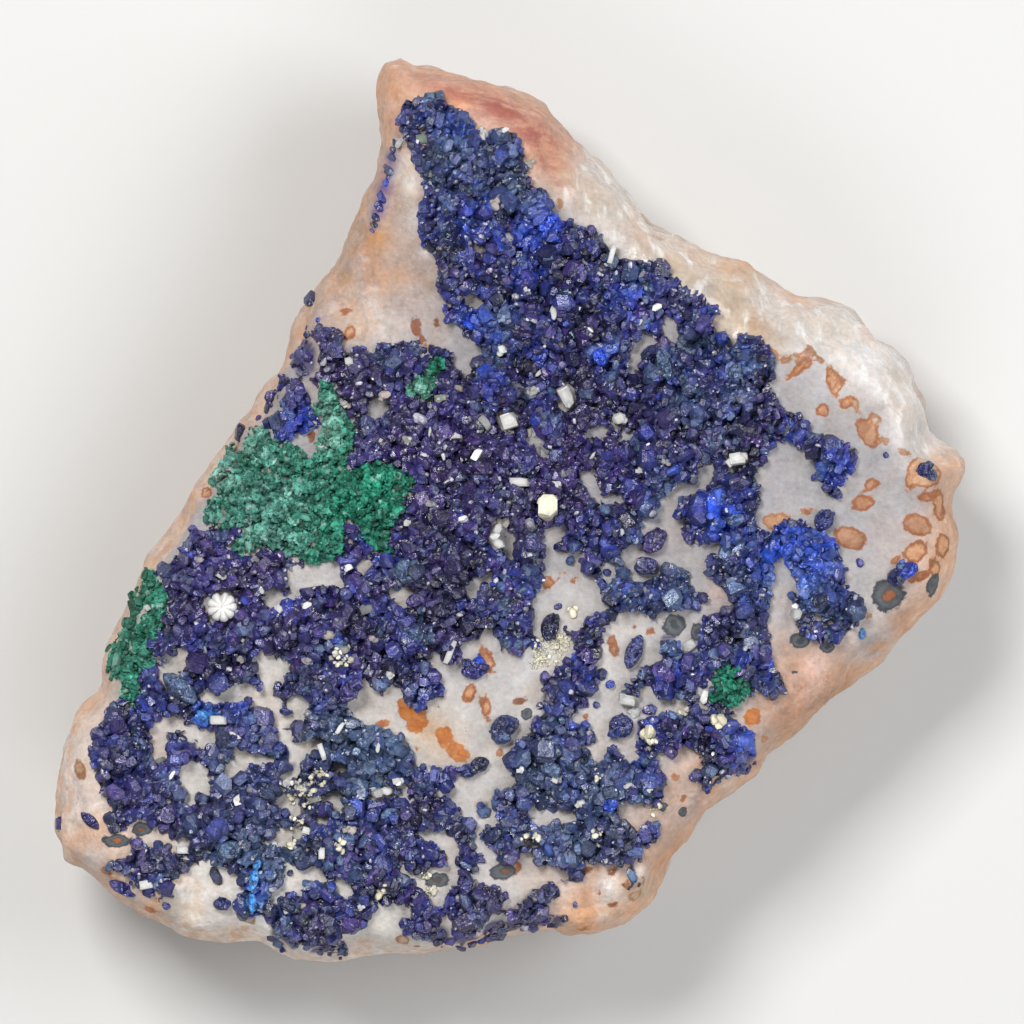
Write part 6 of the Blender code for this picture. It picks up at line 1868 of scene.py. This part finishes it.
class BuildAzurite(bpy.types.Operator):
    """Build the azurite crystals over their solids"""
    bl_idname = "azurite.build_azurite"
    bl_label = "Azurite"

    def execute(self, context):
        azurite = context.scene.azurite_crystals
        material = azurite_material("azurite_crystal", shared_grain(), False)
        broad = azurite_material("azurite_broad", shared_grain(), True)
        mass, pieces, clusters = build_azurite(azurite, material, broad)
        for piece in pieces + [clusters, mass]:
            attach(piece, "root")
        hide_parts(*CLUSTERS)
        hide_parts("azurite_crust")
        base = azurite_base_material(azurite, shared_grain())
        dress(["azurite_crust"] + CLUSTERS, base)
        return {"FINISHED"}


class BuildMalachite(bpy.types.Operator):
    """Build the malachite grains over their solids"""
    bl_idname = "azurite.build_malachite"
    bl_label = "Malachite"

    def execute(self, context):
        malachite = context.scene.azurite_malachite
        crumbs = malachite_material("malachite_grain", None, shared_grain())
        mass, grains = build_malachite(malachite, crumbs)
        for piece in (mass, grains):
            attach(piece, "root")
        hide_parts(*MALACHITES)
        base = malachite_material("malachite_base", opaque(malachite.deep), shared_grain())
        dress(MALACHITES, base)
        return {"FINISHED"}


class BuildCalcite(bpy.types.Operator):
    """Build the small white crystals and the yellow grains"""
    bl_idname = "azurite.build_calcite"
    bl_label = "Calcite"

    def execute(self, context):
        calcite = context.scene.azurite_calcite
        small = calcite_material("calcite_small", None, shared_grain())
        crystals, standing = build_calcite(calcite, small)
        rosette = build_rosette(calcite, small)
        for piece in (crystals, standing, rosette, build_yellow_grains(calcite, small)):
            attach(piece, "root")
        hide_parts("calcite_rosette")
        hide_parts(*[name for name in CALCITES if name != "calcite_rosette"])
        dress(CALCITES, calcite_material("calcite_block", opaque(calcite.white), shared_grain()))
        return {"FINISHED"}


def add_light(name, place, aim, side, power, colour):
    data = bpy.data.lights.new(name, "AREA")
    data.shape = "RECTANGLE"
    data.size, data.size_y = side
    data.energy = power
    data.color = colour
    light = bpy.data.objects.new(name, data)
    light.location = place
    light.rotation_euler = (Vector(place) - Vector(aim)).to_track_quat("Z", "Y").to_euler()
    bpy.context.scene.collection.objects.link(light)


class BuildStage(bpy.types.Operator):
    """Build the floor, the lights and the camera"""
    bl_idname = "azurite.build_stage"
    bl_label = "Stage"

    def execute(self, context):
        stage = context.scene.azurite_stage
        bm = bmesh.new()
        bmesh.ops.create_grid(bm, x_segments=1, y_segments=1, size=1.5)
        floor = new_piece("floor", bm, floor_material(stage))
        aim = (0.0, 0.0, 0.01)
        add_light("key", (-0.22, 0.30, 0.56), aim, (0.26, 0.20), stage.key_power, (1.0, 0.99, 0.97))
        add_light("fill", (0.42, 0.10, 0.40), aim, (0.40, 0.40), stage.fill_power, (0.94, 0.97, 1.0))
        add_light("back", (0.05, -0.45, 0.38), aim, (0.40, 0.20), 0.6 * stage.fill_power,
                  (1.0, 1.0, 1.0))
        world = bpy.data.worlds.new("studio")
        world.use_nodes = True
        world.node_tree.nodes["Background"].inputs["Color"].default_value = (0.9, 0.92, 0.95, 1.0)
        world.node_tree.nodes["Background"].inputs["Strength"].default_value = 0.16
        context.scene.world = world
        context.scene.view_settings.view_transform = "Standard"
        self.add_camera(context, stage)
        return {"FINISHED"}

    def add_camera(self, context, stage):
        data = bpy.data.cameras.new("camera")
        data.lens = stage.lens
        data.sensor_width = 36.0
        distance = IMAGE_SIDE * GRID_STEP * stage.lens / data.sensor_width
        camera = bpy.data.objects.new("camera", data)
        x, y = on_face(*IMAGE_CENTRE)
        camera.location = (x, y, VIEW_HEIGHT + distance)
        context.scene.collection.objects.link(camera)
        context.scene.camera = camera


class SpecimenPanel(bpy.types.Panel):
    """Lists the specimen's pieces"""
    bl_idname = "VIEW3D_PT_azurite_specimen"
    bl_label = "Azurite specimen"
    bl_space_type = "VIEW_3D"
    bl_region_type = "UI"
    bl_category = "Azurite"

    def draw(self, context):
        for operator, _ in STEPS:
            self.layout.operator(operator.bl_idname)


SETTINGS = {
    "azurite_rock": RockSettings,
    "azurite_crystals": AzuriteSettings,
    "azurite_malachite": MalachiteSettings,
    "azurite_calcite": CalciteSettings,
    "azurite_stage": StageSettings,
}
STEPS = [
    (BuildStage, "build_stage"), (BuildRock, "build_rock"), (BuildAzurite, "build_azurite"),
    (BuildMalachite, "build_malachite"), (BuildCalcite, "build_calcite"),
]


def register():
    for settings in SETTINGS.values():
        bpy.utils.register_class(settings)
    for name, settings in SETTINGS.items():
        setattr(bpy.types.Scene, name, PointerProperty(type=settings))
    for operator, _ in STEPS:
        bpy.utils.register_class(operator)
    bpy.utils.register_class(SpecimenPanel)


def unregister():
    bpy.utils.unregister_class(SpecimenPanel)
    for operator, _ in reversed(STEPS):
        bpy.utils.unregister_class(operator)
    for name in SETTINGS:
        delattr(bpy.types.Scene, name)
    for settings in reversed(SETTINGS.values()):
        bpy.utils.unregister_class(settings)


def main():
    register()
    for _, step in STEPS:
        getattr(bpy.ops.azurite, step)()


if __name__ == "__main__":
    main()
